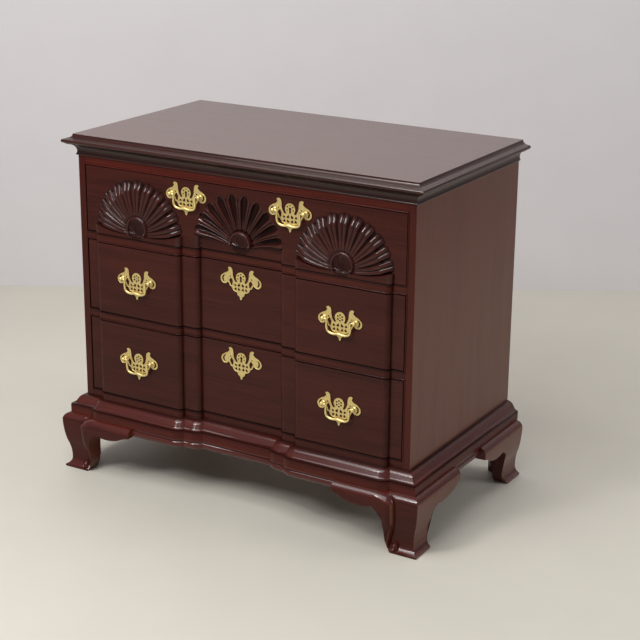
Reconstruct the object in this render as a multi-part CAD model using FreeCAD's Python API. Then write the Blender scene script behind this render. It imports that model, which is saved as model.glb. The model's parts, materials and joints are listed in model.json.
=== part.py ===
import FreeCAD, Part
import math
import os

# Block front chest of three graduated drawers, with three carved shells on the top
# drawer, ogee bracket feet and pierced brass bail pulls.
#
# Millimetres.  +X is the chest's left-to-right as seen from the front, -Y faces the
# front and +Z is up.  The origin is on the floor, under the middle of the footprint.
# An overhang is a distance outwards from the case's plain front plane or side faces.

V = FreeCAD.Vector

# ---- case ----
case_width = 858.6          # over the two side panels
case_depth = 489.3          # plain front plane to flush back
side_thickness = 19.0
stile_depth = 25.0
rail_depth = 60.0
back_thickness = 6.0
back_rabbet = 10.0          # width of the rebate that holds the back panel

# ---- heights, from the floor up ----
foot_height = 137.0
base_moulding_height = 43.0
bottom_rail_height = 17.5
bottom_drawer_height = 179.0
middle_drawer_height = 165.5
top_drawer_height = 153.0
rail_height = 19.0
top_rail_height = 19.0
cove_height = 27.7
top_thickness = 20.9

# ---- blocking of the front, in plan ----
block_rise = 12.5           # raised fields stand this far out, with quarter round edges
recess_depth = 12.5         # the middle field lies this far in
outer_strip = 49.3          # case side to the foot of the raised field
inner_strip = 30.0          # plain strip between raised field and recess
recess_half_width = 118.0   # middle of the chest to the edge of the recess
rounding_steps = 3          # flats that make each quarter round

# ---- top and mouldings ----
top_overhang = 27.0
top_moulding_width = 19.0   # plan width of the moulded edge
top_lip_radius = 4.3
top_arris_step = 1.5
cove_overhang = 19.0
cove_radius = 17.5
cove_bead_radius = 2.3
base_overhang = 28.0
torus_radius = 12.0
base_bead_radius = 2.0
bead_height = 3.0           # fine bead round every drawer opening
bead_overhang = 1.2
skirt_height = 21.0
skirt_overhang = 30.0

# ---- bracket feet ----
bracket_length = 200.0      # foot's outer corner to the end of the wing
bracket_setback = 5.0       # overhang of the brackets' flat inner face
knee_overhang = 43.0
knee_drop = 20.0            # below the top of the foot
ankle_overhang = 29.0
ankle_height = 34.0
toe_overhang = 41.0
toe_height = 5.0
leg_width = 78.0            # foot's outer corner to the inner edge of the leg
wing_drop = 28.0            # depth of the wing at its free end
strip_sweep = 14.0          # how far the raised strip spreads outwards at the knee
volute_radius = 6.5         # carved scroll at the bottom of the foot's raised strip
volute_inset = 55.0         # foot's outer corner to the middle of the scroll
volute_height = 14.0
volute_overhang = 39.0
volute_sides = 12
glue_block_size = 40.0
glue_block_lift = 3.0
rear_bracket_thickness = 18.0
rear_bracket_length = 150.0
foot_end_inset = 4.0        # rear feet stop short of the flush back

# ---- drawers ----
drawer_gap = 1.5            # visible gap round each drawer front
drawer_front_thickness = 26.0
drawer_side_thickness = 12.0
drawer_back_thickness = 12.0
drawer_bottom_thickness = 6.0
drawer_side_clearance = 3.0
drawer_top_clearance = 10.0
drawer_back_clearance = 37.3  # from a shut drawer to the back panel
running_gap = 0.3
bottom_groove_height = 9.0  # drawer bottom above the lower edge of the sides
bottom_groove_depth = 4.0
runner_width = 40.0
dust_panel_thickness = 8.0
kicker_height = 18.0
stop_size = 20.0
stop_height = 5.0
stop_spacing = 500.0
cleat_size = 20.0

# ---- carved shells ----
outer_shell_radius = 118.0
outer_shell_centre = 15.0   # centre of the outline above the drawer's lower edge
outer_shell_lobes = 11
outer_shell_plain = 11.0    # degrees of plain field below the lowest lobes
middle_shell_radius = 115.0
middle_shell_centre = 20.0
middle_shell_lobes = 10
middle_shell_plain = 16.0
petal_notch = 0.07          # depth of the notches between petals, as a share of their length
shell_valley = 4.5          # depth of the flutes between lobes
rosette_radius = 27.0
rosette_centre = 24.0
pocket_floor = 2.0          # wood left between the recess plane and the pocket
pocket_clearance = 0.2

# ---- brasses ----
pull_offset = 264.0         # middle of the chest to the outer pulls
top_pull_drop = 29.5        # middle of the plate's round boss below the top of the opening
escutcheon_drop = 32.0
pull_lift = 13.4            # the same, above the middle of the opening, on plain pulls
plate_width = 106.4
plate_thickness = 2.2
post_spacing = 76.0
post_drop = 4.5             # posts below the middle of the boss
pivot_offset = 8.0          # bail pivot in front of the plate
post_base_radius = 4.4
post_stem_radius = 2.9
post_head_radius = 4.2
post_shank_radius = 2.2
post_sides = 8
shank_clearance = 0.1
nut_size = 11.0
nut_thickness = 4.0
nut_washer = 2.0            # shank left showing past the nut
bail_pin_radius = 1.6
bail_pin_clearance = 0.35
bail_swell = 2.7            # rod radius in the middle of the bail
bail_sides = 6

# ---- derived places ----
overall_depth = case_depth + block_rise + knee_overhang
back_y = overall_depth / 2
face_y = back_y - case_depth
half_width = case_width / 2
opening_half = half_width - side_thickness
block_outer = half_width - outer_strip
block_inner = recess_half_width + inner_strip
block_middle = (block_outer + block_inner) / 2
strip_middle = (block_inner + recess_half_width) / 2

base_top = foot_height + base_moulding_height
bottom_opening = base_top + bottom_rail_height
lower_rail_bottom = bottom_opening + bottom_drawer_height
middle_opening = lower_rail_bottom + rail_height
upper_rail_bottom = middle_opening + middle_drawer_height
top_opening = upper_rail_bottom + rail_height
top_rail_bottom = top_opening + top_drawer_height
cove_bottom = top_rail_bottom + top_rail_height
case_top = cove_bottom + cove_height
overall_height = case_top + top_thickness
back_panel_y = back_y - back_thickness


# ---------------------------------------------------------------- outlines and skins

def circle_through(start, via, end):
    """Centre and radius of the circle through three plane points."""
    ax, az = start
    bx, bz = via
    cx, cz = end
    d = 2 * (ax * (bz - cz) + bx * (cz - az) + cx * (az - bz))
    a2 = ax * ax + az * az
    b2 = bx * bx + bz * bz
    c2 = cx * cx + cz * cz
    u = (a2 * (bz - cz) + b2 * (cz - az) + c2 * (az - bz)) / d
    v = (a2 * (cx - bx) + b2 * (ax - cx) + c2 * (bx - ax)) / d
    return u, v, math.hypot(ax - u, az - v)


def arc(start, via, end, steps):
    """Points from start to end along the arc through via, both ends included."""
    u, v, radius = circle_through(start, via, end)
    first = math.atan2(start[1] - v, start[0] - u)
    middle = (math.atan2(via[1] - v, via[0] - u) - first) % (2 * math.pi)
    sweep = (math.atan2(end[1] - v, end[0] - u) - first) % (2 * math.pi)
    if middle > sweep:
        sweep -= 2 * math.pi
    angles = [first + sweep * k / steps for k in range(steps + 1)]
    return [(u + radius * math.cos(a), v + radius * math.sin(a)) for a in angles]


def turn(centre, radius, from_deg, to_deg, steps):
    """Points on a circle between two angles, both ends included."""
    angles = [math.radians(from_deg + (to_deg - from_deg) * k / steps) for k in range(steps + 1)]
    return [(centre[0] + radius * math.cos(a), centre[1] + radius * math.sin(a)) for a in angles]


def distinct(points):
    """The points without those that repeat the one before or the first."""
    kept = []
    for point in points:
        if not kept or (point - kept[-1]).Length > 1e-4:
            kept.append(point)
    if (kept[0] - kept[-1]).Length < 1e-4:
        kept.pop()
    return kept


def polygon_face(points):
    points = distinct(points)
    return Part.Face(Part.makePolygon(points + points[:1]))


def quad_faces(a, b, c, d):
    """One flat face for four points in a plane, and two triangles for any others."""
    corners = distinct([a, b, c, d])
    if len(corners) < 3:
        return []
    if len(corners) == 4:
        normal = (b - a).cross(d - a)
        off = abs(normal.dot(c - a)) / max(normal.Length, 1e-9)
        if off > 1e-5:
            return [polygon_face([a, b, c]), polygon_face([a, c, d])]
    return [polygon_face(corners)]


def solid_from_rings(rings):
    """Closed solid whose skin joins each ring of points to the next, capped at both ends."""
    faces = [polygon_face(rings[0]), polygon_face(rings[-1])]
    for near, far in zip(rings, rings[1:]):
        for k in range(len(near)):
            n = (k + 1) % len(near)
            faces += quad_faces(near[k], near[n], far[n], far[k])
    shell = Part.makeShell(faces)
    shell.sewShape()
    solid = Part.makeSolid(shell)
    if solid.Volume < 0:
        solid.reverse()
    return solid


def slab(x0, x1, y0, y1, z0, z1):
    return Part.makeBox(x1 - x0, y1 - y0, z1 - z0, V(x0, y0, z0))


def plan_board(outline, z0, z1):
    """Board with a plan outline of (x, y) points, from one height to another."""
    face = polygon_face([V(x, y, z0) for x, y in outline])
    return face.extrude(V(0, 0, z1 - z0))


def bar(profile, start, along, sides):
    """Straight bar of many sides from (radius, distance) points, turned on a line."""
    across = V(0, 0, 1)
    up = along.cross(across)
    rings = []
    for radius, distance in profile:
        middle = start + along * distance
        turned = turn((0, 0), radius, 0, 360, sides)[:-1]
        rings.append([middle + across * a + up * b for a, b in turned])
    return solid_from_rings(rings)


def front_board(outline, y0, y1):
    """Board with an elevation outline of (x, z) points, from one depth to another."""
    face = polygon_face([V(x, y0, z) for x, z in outline])
    return face.extrude(V(0, y1 - y0, 0))


def mirror_x(shape):
    return shape.mirror(V(0, 0, 0), V(1, 0, 0))


def group(shapes):
    return Part.makeCompound(shapes)


def export(node, shape):
    shape.exportStep(os.path.join("parts", node + ".step"))


# ---------------------------------------------------------------- the blocked front

def rising_edge(overhang, spread=0):
    """Rounded outer edge of the right raised field, from the plain strip inwards."""
    reach = block_rise + overhang
    start = math.degrees(math.asin(overhang / reach))
    centre = (block_outer - block_rise + spread, 0)
    rounded = turn(centre, reach, start, 90, rounding_steps)
    return [(x, face_y - y) for x, y in rounded]


def falling_edge(overhang):
    """Rounded inner edge of the right raised field, down to the inner strip."""
    reach = block_rise + overhang
    end = 180 - math.degrees(math.asin(overhang / reach))
    centre = (block_inner + block_rise, 0)
    rounded = turn(centre, reach, 90, end, rounding_steps)
    return [(x, face_y - y) for x, y in rounded]


def recess_edge(overhang):
    """Rounded edge of the right inner strip, down into the recess."""
    reach = recess_depth + overhang
    end = 180 - math.degrees(math.asin(overhang / reach))
    rounded = turn((recess_half_width, 0), reach, 90, end, rounding_steps)
    return [(x, face_y + recess_depth - y) for x, y in rounded]


def half_front(overhang, end):
    """Plan points of the blocked front from x = end to the recess."""
    points = [(end, face_y - overhang)]
    return points + rising_edge(overhang) + falling_edge(overhang) + recess_edge(overhang)


def full_front(overhang, end):
    right = half_front(overhang, end)
    return right + [(-x, y) for x, y in reversed(right)]


def blocked_board(overhang, end, y_back, z0, z1):
    """Board with the blocked front and a flat back."""
    outline = full_front(overhang, end) + [(-end, y_back), (end, y_back)]
    return plan_board(outline, z0, z1)


def follow_front(profile):
    """Moulding that follows the blocked front between its mitres, from (overhang, z) points."""
    lines = [full_front(out, half_width + out) for out, z in profile]
    count = len(lines[0])
    rings = [[V(*line[k], z) for line, (out, z) in zip(lines, profile)] for k in range(count)]
    return solid_from_rings(rings)


def follow_straight_front(profile):
    """Moulding along the straight front between its mitres."""
    right = [V(half_width + out, face_y - out, z) for out, z in profile]
    left = [V(-point.x, point.y, point.z) for point in right]
    return solid_from_rings([right, left])


def follow_side(profile):
    """Moulding along the right side, from its front mitre to the flush back."""
    front = [V(half_width + out, face_y - out, z) for out, z in profile]
    back = [V(point.x, back_y, point.z) for point in front]
    return solid_from_rings([front, back])


# ---------------------------------------------------------------- top and cove

def top_edge_profile():
    """Moulded edge of the top as (overhang, z): hollow above, rounded lip below."""
    lip = top_overhang - top_lip_radius
    arris = top_overhang - top_moulding_width
    lip_z = case_top + top_lip_radius + top_arris_step
    hollow_top = overall_height - top_arris_step
    hollow_bottom = lip_z + top_lip_radius
    width = lip - arris
    drop = hollow_top - hollow_bottom
    hollow = [(lip - width * c, hollow_top - drop * s) for c, s in turn((0, 0), 1, 0, 90, 4)]
    rounded = turn((lip, lip_z), top_lip_radius, 90, -90, 5)
    soffit = lip - top_arris_step
    return [(arris, overall_height)] + hollow + rounded + [(soffit, case_top)]


def make_top():
    rings = []
    for out, z in top_edge_profile():
        x = half_width + out
        y = face_y - out
        rings.append([V(-x, y, z), V(x, y, z), V(x, back_y, z), V(-x, back_y, z)])
    return solid_from_rings(rings)


def cove_profile():
    """Cove under the top: deep hollow, fillet and bead, backed by the case."""
    nose = (cove_overhang, case_top)
    waist = cove_overhang - cove_radius
    fillet = case_top - top_arris_step
    hollow = turn((cove_overhang, fillet - cove_radius), cove_radius, 90, 180, 5)
    bead_z = cove_bottom + cove_bead_radius
    bead = turn((waist, bead_z), cove_bead_radius, 90, -90, 4)
    return [(0, case_top), nose] + hollow + bead + [(0, cove_bottom)]


def make_cove():
    side = follow_side(cove_profile())
    return group([follow_straight_front(cove_profile()), side, mirror_x(side)])


# ---------------------------------------------------------------- case

def make_side():
    board = slab(opening_half, half_width, face_y + stile_depth, back_y, foot_height, case_top)
    rebate = slab(opening_half, opening_half + back_rabbet, back_panel_y, back_y,
                  foot_height, case_top)
    return board.cut(rebate)


def make_back():
    reach = opening_half + back_rabbet
    return slab(-reach, reach, back_panel_y, back_y, foot_height, case_top)


def make_stile():
    """Front stile with the opening's bead worked on its inner edge."""
    outline = [(opening_half, face_y - bead_overhang),
               (opening_half + bead_height, face_y - bead_overhang),
               (opening_half + bead_height, face_y),
               (half_width, face_y),
               (half_width, face_y + stile_depth),
               (opening_half, face_y + stile_depth)]
    beaded = plan_board(outline, bottom_opening, top_rail_bottom)
    plain = slab(opening_half, half_width, face_y, face_y + stile_depth, foot_height, case_top)
    return plain.fuse(beaded).removeSplitter()


def make_top_rail():
    board = slab(-opening_half, opening_half, face_y, face_y + stile_depth,
                 top_rail_bottom, case_top)
    bead = slab(-opening_half, opening_half, face_y - bead_overhang, face_y + stile_depth,
                top_rail_bottom, top_rail_bottom + bead_height)
    return board.fuse(bead).removeSplitter()


def make_rail(bottom, top, bead_levels):
    """Blocked rail with a fine bead at each of the given heights."""
    back = face_y + rail_depth
    rail = blocked_board(0, opening_half, back, bottom, top)
    beads = [blocked_board(bead_overhang, opening_half, back, z, z + bead_height)
             for z in bead_levels]
    return rail.fuse(beads).removeSplitter()


def make_middle_rail(bottom):
    top = bottom + rail_height
    return make_rail(bottom, top, [bottom, top - bead_height])


def make_bottom_rail():
    """Rail under the bottom drawer: it runs on down behind the base moulding."""
    return make_rail(foot_height, bottom_opening, [bottom_opening - bead_height])


def runner_levels():
    return [bottom_opening, middle_opening, top_opening]


def make_runners():
    """Two runners for each drawer, level with the rail in front of them."""
    runners = []
    for top in runner_levels():
        runner = slab(opening_half - runner_width, opening_half, face_y + rail_depth,
                      back_panel_y, top - rail_height, top)
        runners += [runner, mirror_x(runner)]
    return group(runners)


def make_dust_panel(rail_bottom):
    reach = opening_half - runner_width
    middle = rail_bottom + rail_height / 2
    return slab(-reach, reach, face_y + rail_depth, back_panel_y,
                middle - dust_panel_thickness / 2, middle + dust_panel_thickness / 2)


def make_kickers():
    """Strips over the top drawer that stop it tipping as it is drawn."""
    kicker = slab(opening_half - runner_width, opening_half, face_y + stile_depth,
                  back_panel_y, top_rail_bottom, top_rail_bottom + kicker_height)
    return group([kicker, mirror_x(kicker)])


def make_cleats():
    """Cleats along the sides that the top is screwed to from below."""
    cleat = slab(opening_half - cleat_size, opening_half, face_y + stile_depth,
                 back_panel_y, case_top - cleat_size, case_top)
    return group([cleat, mirror_x(cleat)])


def make_stops():
    """Stop blocks on the rails: each drawer front closes against a pair."""
    front = face_y + drawer_front_thickness + running_gap
    stops = []
    for level in runner_levels():
        for x in (-stop_spacing / 2, stop_spacing / 2):
            stops.append(slab(x - stop_size / 2, x + stop_size / 2, front, front + stop_size,
                              level, level + stop_height))
    return group(stops)


# ---------------------------------------------------------------- base and feet

def base_profile():
    """Base moulding as (overhang, z): torus, bead, quirk, hollow, nose and fascia."""
    torus_z = base_top - torus_radius
    torus = turn((torus_radius / 8, torus_z), torus_radius, 90, 0, 3)
    reach = torus[-1][0]
    bead_z = torus_z - base_bead_radius
    bead = turn((reach + 1, bead_z), base_bead_radius, 60, -90, 2)
    quirk = (reach + 1, bead_z - base_bead_radius - 1)
    nose_top = (base_overhang - 5, quirk[1] - 4)
    nose_side = (base_overhang, nose_top[1] - 5)
    nose_via = (base_overhang - 1.5, nose_top[1] - 1.5)
    nose = arc(nose_top, nose_via, nose_side, 2)
    fascia = [(base_overhang, foot_height), (0, foot_height)]
    return [(0, base_top)] + torus + bead + [quirk] + nose + fascia


def skirt_profile():
    """Rounded strip under the fascia, between the feet."""
    top = foot_height
    bottom = foot_height - skirt_height
    flat = base_overhang - 8
    nose = arc((flat + 4, top), (skirt_overhang, (top + bottom) / 2), (flat + 4, bottom), 6)
    return [(bracket_setback, top)] + nose + [(bracket_setback, bottom)]


def front_wing_x():
    return half_width + toe_overhang - bracket_length


def make_front_skirt():
    """Skirt that follows the blocking between the wings of the front feet."""
    skirt = follow_front(skirt_profile())
    reach = front_wing_x()
    keep = slab(-reach, reach, face_y - 2 * skirt_overhang, face_y + recess_depth + skirt_overhang,
                0, foot_height + 1)
    return skirt.common(keep)


def side_wing_ends():
    """Where the front and rear side wings end, as y."""
    front = face_y - toe_overhang + bracket_length
    rear = back_y - foot_end_inset - bracket_length
    return front, rear


def make_side_skirts():
    front, rear = side_wing_ends()
    ring = [V(half_width + out, front, z) for out, z in skirt_profile()]
    far = [V(point.x, rear, point.z) for point in ring]
    skirt = solid_from_rings([ring, far])
    return group([skirt, mirror_x(skirt)])


def foot_profile():
    """Ogee of the foot as (overhang, z): rolled knee, hollow ankle, pointed toe."""
    knee = foot_height - knee_drop
    waist = ((knee_overhang + ankle_overhang) / 2, (knee + ankle_height) / 2 - 10)
    roll = arc((base_overhang, foot_height), (knee_overhang - 4, foot_height - 6),
               (knee_overhang, knee), 4)
    calf = arc((knee_overhang, knee), (knee_overhang - 1.5, (knee + waist[1]) / 2 + 5), waist, 4)
    shin = arc(waist, (ankle_overhang + 1, ankle_height + 8), (ankle_overhang, ankle_height - 10), 4)
    toe = arc((ankle_overhang, ankle_height - 10), (ankle_overhang + 3.5, 11),
              (toe_overhang, toe_height), 3)
    sole = [(toe_overhang - 1, 0), (bracket_setback, 0), (bracket_setback, foot_height)]
    return roll + calf[1:] + shin[1:] + toe[1:] + sole


def bracket_cut_outline():
    """Scroll below the wing as (distance from the foot's outer corner, z)."""
    leg = leg_width
    shoulder = foot_height - 55
    cusp = (leg + 22, shoulder + 11)
    hollow = arc((leg, shoulder - 12), (leg + 4, shoulder), (leg + 14, shoulder + 6), 4)
    lobe = arc(cusp, (bracket_length - 55, cusp[1] - 3), (bracket_length - 14, cusp[1] + 13), 5)
    tip = [(bracket_length, foot_height - wing_drop), (bracket_length + 5, foot_height - wing_drop)]
    far = [(bracket_length + 5, -5), (leg - 14, -5), (leg - 10, 6), (leg - 2, 26)]
    return hollow + lobe + tip + far


def scroll_cutter_x():
    """Tool that saws the scroll of the right front bracket."""
    corner = half_width + toe_overhang
    outline = [(corner - s, z) for s, z in bracket_cut_outline()]
    y0 = face_y - block_rise - 2 * knee_overhang
    return front_board(outline, y0, face_y + recess_depth)


def scroll_cutter_y():
    """Tool that saws the scroll of the right side bracket of a front foot."""
    corner = face_y - toe_overhang
    face = polygon_face([V(half_width - knee_overhang, corner + s, z)
                         for s, z in bracket_cut_outline()])
    return face.extrude(V(3 * knee_overhang, 0, 0))


def strip_spread(z):
    """How far the raised strip of a front foot spreads outwards at a height."""
    below_top = min(1, (foot_height - z) / knee_drop)
    above_floor = min(1, z / (2 * ankle_height))
    return strip_sweep * below_top * above_floor


def make_front_bracket():
    """Front bracket of the right foot: plain by the corner, raised along the wing."""
    wing_x = front_wing_x()
    lines = []
    for out, z in foot_profile():
        line = [(half_width + out, face_y - out)] + rising_edge(out, strip_spread(z))
        lines.append(line + [(wing_x, face_y - block_rise - out)])
    rings = []
    for k in range(len(lines[0])):
        ring = [V(*line[k], z) for line, (out, z) in zip(lines, foot_profile())]
        inner = face_y - bracket_setback
        flat = [V(p.x, inner, p.z) for p in ring[-2:]]
        rings.append(ring[:-2] + flat)
    return solid_from_rings(rings).cut(scroll_cutter_x()).fuse(make_volute())


def make_volute():
    """Round eye in which the raised strip of a front foot ends, stepped to its centre."""
    corner = half_width + toe_overhang
    start = V(corner - volute_inset, face_y, volute_height)
    profile = [(volute_radius, ankle_overhang - 10), (volute_radius, volute_overhang),
               (volute_radius / 2, volute_overhang + 2)]
    return bar(profile, start, V(0, -1, 0), volute_sides)


def make_side_bracket():
    """Side bracket of the right front foot, mitred to the front bracket."""
    end = face_y - toe_overhang + bracket_length
    front = [V(half_width + out, face_y - out, z) for out, z in foot_profile()]
    back = [V(point.x, end, point.z) for point in front]
    return solid_from_rings([front, back]).cut(scroll_cutter_y())


def make_glue_block(corner_y, inwards):
    """Square block in the corner of a foot, just clear of the floor."""
    x1 = half_width + bracket_setback
    y0, y1 = sorted((corner_y, corner_y + inwards * glue_block_size))
    return slab(x1 - glue_block_size, x1, y0, y1, glue_block_lift, foot_height)


def make_front_foot():
    block = make_glue_block(face_y - bracket_setback, 1)
    return group([make_front_bracket(), make_side_bracket(), block])


def make_rear_side_bracket():
    """Side bracket of the right rear foot: square at the back, sawn as the front one."""
    end = back_y - foot_end_inset
    ring = [V(half_width + out, end, z) for out, z in foot_profile()]
    wing = [V(point.x, end - bracket_length, point.z) for point in ring]
    cutter = scroll_cutter_y().translated(V(0, -(face_y - toe_overhang), 0))
    cutter = cutter.mirror(V(0, 0, 0), V(0, 1, 0)).translated(V(0, end, 0))
    return solid_from_rings([ring, wing]).cut(cutter)


def make_rear_bracket():
    """Plain bracket across the back of a rear foot, sawn to a hollow slope."""
    x1 = half_width + bracket_setback
    end = back_y - foot_end_inset
    leg = leg_width - toe_overhang
    slope = arc((x1 - leg, foot_height / 3), (x1 - leg - 25, foot_height * 0.62),
                (x1 - rear_bracket_length, foot_height - wing_drop), 5)
    outline = [(x1, 0), (x1 - leg, 0)] + slope + [(x1 - rear_bracket_length, foot_height),
                                                 (x1, foot_height)]
    return front_board(outline, end - rear_bracket_thickness, end)


def make_rear_foot():
    corner = back_y - foot_end_inset - rear_bracket_thickness
    return group([make_rear_side_bracket(), make_rear_bracket(), make_glue_block(corner, -1)])


# ---------------------------------------------------------------- carved shells

def outline_reach(radius, centre, angle):
    """Distance from the middle of the lower edge to a circle centred above it."""
    side = centre * math.cos(angle)
    return centre * math.sin(angle) + math.sqrt(radius * radius - side * side)


def spoke_points(angle, radius, centre, heights, tip):
    """Radial section of a shell as (distance, height above the ground)."""
    eye = outline_reach(rosette_radius, rosette_centre, angle)
    rim = outline_reach(radius, centre, angle) * tip
    middle, crown, quirk, root, belly, shoulder = heights
    gap = rim - eye
    return [(0, middle), (eye * 0.8, crown), (eye + 2, quirk), (eye + gap * 0.25, root),
            (eye + gap * 0.65, belly), (eye + gap * 0.9, shoulder)]


def shell_solid(x, ground_y, bottom, spokes):
    """Shell carved in relief: spokes of (angle, points, rim, rim height) joined in a fan."""
    rings = []
    for angle, points, rim, rim_height in spokes:
        section = [(0, 0)] + points + [(rim, rim_height), (rim, 0)]
        ring = [V(x + r * math.cos(angle), ground_y - h, bottom + r * math.sin(angle))
                for r, h in section]
        rings.append(ring)
    return solid_from_rings(rings)


def lobe_angles(lobes, plain):
    """Spoke angles, four to a lobe, and how near each is to the crest of its lobe."""
    start = math.radians(plain)
    span = math.pi - 2 * start
    steps = 4 * lobes
    crest = [0.0, 0.8, 1.0, 0.8]
    return [(start + span * k / steps, crest[k % 4]) for k in range(steps + 1)]


def plain_angles(plain):
    """Spokes of the plain sector below the lowest lobe."""
    return [0, math.radians(plain * 0.9)]


def mirrored(spokes):
    """The same spokes on the other side of the shell, in turning order."""
    return [(math.pi - angle, *rest) for angle, *rest in reversed(spokes)]


def make_outer_shell():
    """Raised shell over the right block, standing on the drawer front's plain face."""
    top = block_rise
    low = block_rise - shell_valley
    crest_heights = (top - 2, top, top - 5, top, top, top - 2.5)
    valley_heights = (top - 2, top, top - 5, low, low, low - 2.5)
    plain_heights = (top - 2, top, top - 5, top, top, top - 1)
    spokes = []
    for angle in plain_angles(outer_shell_plain):
        points = spoke_points(angle, outer_shell_radius, outer_shell_centre, plain_heights, 1)
        rim = outline_reach(outer_shell_radius, outer_shell_centre, angle)
        spokes.append((angle, points, rim, block_rise / 2))
    far_side = mirrored(spokes)
    for angle, crest in lobe_angles(outer_shell_lobes, outer_shell_plain):
        heights = [v + (c - v) * crest for v, c in zip(valley_heights, crest_heights)]
        tip = petal_tip(crest)
        points = spoke_points(angle, outer_shell_radius, outer_shell_centre, heights, tip)
        rim = outline_reach(outer_shell_radius, outer_shell_centre, angle) * tip
        spokes.append((angle, points, rim, 1.5 + 1.5 * crest))
    return shell_solid(block_middle, face_y, top_opening + drawer_gap, spokes + far_side)


def middle_rim(angle):
    return outline_reach(middle_shell_radius, middle_shell_centre, angle)


def petal_tip(crest):
    """Share of the rim's distance that a spoke reaches: the petals' tips stand out."""
    return 1 - petal_notch * (1 - crest)


def make_middle_shell():
    """Shell sunk in a pocket: hollow lobes between ridges, flush with the face at its rim."""
    deep = pocket_floor
    flush = pocket_floor + recess_depth
    ridge_heights = (deep + 2, deep + 5, deep, deep + 5, deep + 7, flush - 1)
    hollow_heights = (deep + 2, deep + 5, deep, deep + 1, deep + 1, deep + 4)
    plain_heights = (deep + 2, deep + 5, deep, deep, deep, deep)
    spokes = []
    for angle in plain_angles(middle_shell_plain):
        points = spoke_points(angle, middle_shell_radius, middle_shell_centre, plain_heights, 1)
        spokes.append((angle, points, middle_rim(angle), deep))
    far_side = mirrored(spokes)
    for angle, crest in lobe_angles(middle_shell_lobes, middle_shell_plain):
        heights = [r + (h - r) * crest for r, h in zip(ridge_heights, hollow_heights)]
        tip = petal_tip(crest)
        points = spoke_points(angle, middle_shell_radius, middle_shell_centre, heights, tip)
        spokes.append((angle, points, middle_rim(angle) * tip, flush))
    floor_y = face_y + recess_depth + pocket_floor
    return shell_solid(0, floor_y, top_opening + drawer_gap, spokes + far_side)


def shell_pocket():
    """Pocket in the top drawer's front that holds the middle shell."""
    bottom = top_opening + drawer_gap
    fan = lobe_angles(middle_shell_lobes, middle_shell_plain)
    plain = [(angle, 1) for angle in plain_angles(middle_shell_plain)]
    spokes = plain + [(angle, petal_tip(crest)) for angle, crest in fan] + mirrored(plain)
    outline = []
    for angle, tip in spokes:
        reach = middle_rim(angle) * tip + pocket_clearance
        outline.append((reach * math.cos(angle), bottom + reach * math.sin(angle)))
    outline += [(outline[-1][0], bottom - 1), (outline[0][0], bottom - 1)]
    return front_board(outline, face_y - 1, face_y + recess_depth + pocket_floor)


# ---------------------------------------------------------------- drawers

def drawer_levels():
    """Name, bottom and height of each drawer opening."""
    return [("top", top_opening, top_drawer_height),
            ("middle", middle_opening, middle_drawer_height),
            ("bottom", bottom_opening, bottom_drawer_height)]


def pull_places(name, bottom, height):
    """Places (x, face y, z) of the drawer's pulls, at the middle of the round boss."""
    if name == "top":
        z = bottom + height - top_pull_drop
        return [(strip_middle * side, face_y, z) for side in (-1, 1)]
    z = bottom + height / 2 + pull_lift
    return [(pull_offset * side, face_y - block_rise, z) for side in (-1, 1)]


def shank_hole(x, z, y0, y1):
    """Clearance hole for a post's shank, from one depth to another."""
    radius = post_shank_radius + shank_clearance
    return bar([(radius, 0), (radius, y1 - y0)], V(x, y0, z), V(0, 1, 0), post_sides)


def shank_holes(places, y0, y1):
    return [shank_hole(x + side * post_spacing / 2, z - post_drop, y0, y1)
            for x, y, z in places for side in (-1, 1)]


def bottom_groove(bottom):
    """Space of the groove that holds the drawer bottom, let into front and sides."""
    z = bottom + running_gap + bottom_groove_height
    reach = drawer_inner_half() + bottom_groove_depth
    y0 = face_y + drawer_front_thickness - bottom_groove_depth
    return slab(-reach, reach, y0, drawer_back_y(), z, z + drawer_bottom_thickness)


def drawer_inner_half():
    return opening_half - drawer_side_clearance - drawer_side_thickness


def drawer_back_y():
    return back_panel_y - drawer_back_clearance


def make_drawer_front(name, bottom, height):
    end = opening_half - drawer_gap
    back = face_y + drawer_front_thickness
    z0 = bottom + drawer_gap
    z1 = bottom + height - drawer_gap
    if name == "top":
        board = slab(-end, end, face_y, back, z0, z1).cut(shell_pocket())
    else:
        board = blocked_board(0, end, back, z0, z1)
    places = pull_places(name, bottom, height)
    holes = shank_holes(places, face_y - 2 * block_rise, back + 1)
    return board.cut(holes + [bottom_groove(bottom)])


def make_drawer_side(bottom, height):
    inner = drawer_inner_half()
    side = slab(inner, inner + drawer_side_thickness, face_y + drawer_front_thickness,
                drawer_back_y(), bottom + running_gap, bottom + height - drawer_top_clearance)
    return side.cut(bottom_groove(bottom))


def make_drawer_back(bottom, height):
    inner = drawer_inner_half()
    z0 = bottom + running_gap + bottom_groove_height + drawer_bottom_thickness
    return slab(-inner, inner, drawer_back_y() - drawer_back_thickness, drawer_back_y(),
                z0, bottom + height - drawer_top_clearance)


def make_drawer(name, bottom, height):
    side = make_drawer_side(bottom, height)
    export(name + "_drawer_front", make_drawer_front(name, bottom, height))
    export(name + "_drawer_right_side", side)
    export(name + "_drawer_left_side", mirror_x(side))
    export(name + "_drawer_back", make_drawer_back(bottom, height))
    export(name + "_drawer_bottom", bottom_groove(bottom))


# ---------------------------------------------------------------- brasses

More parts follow.
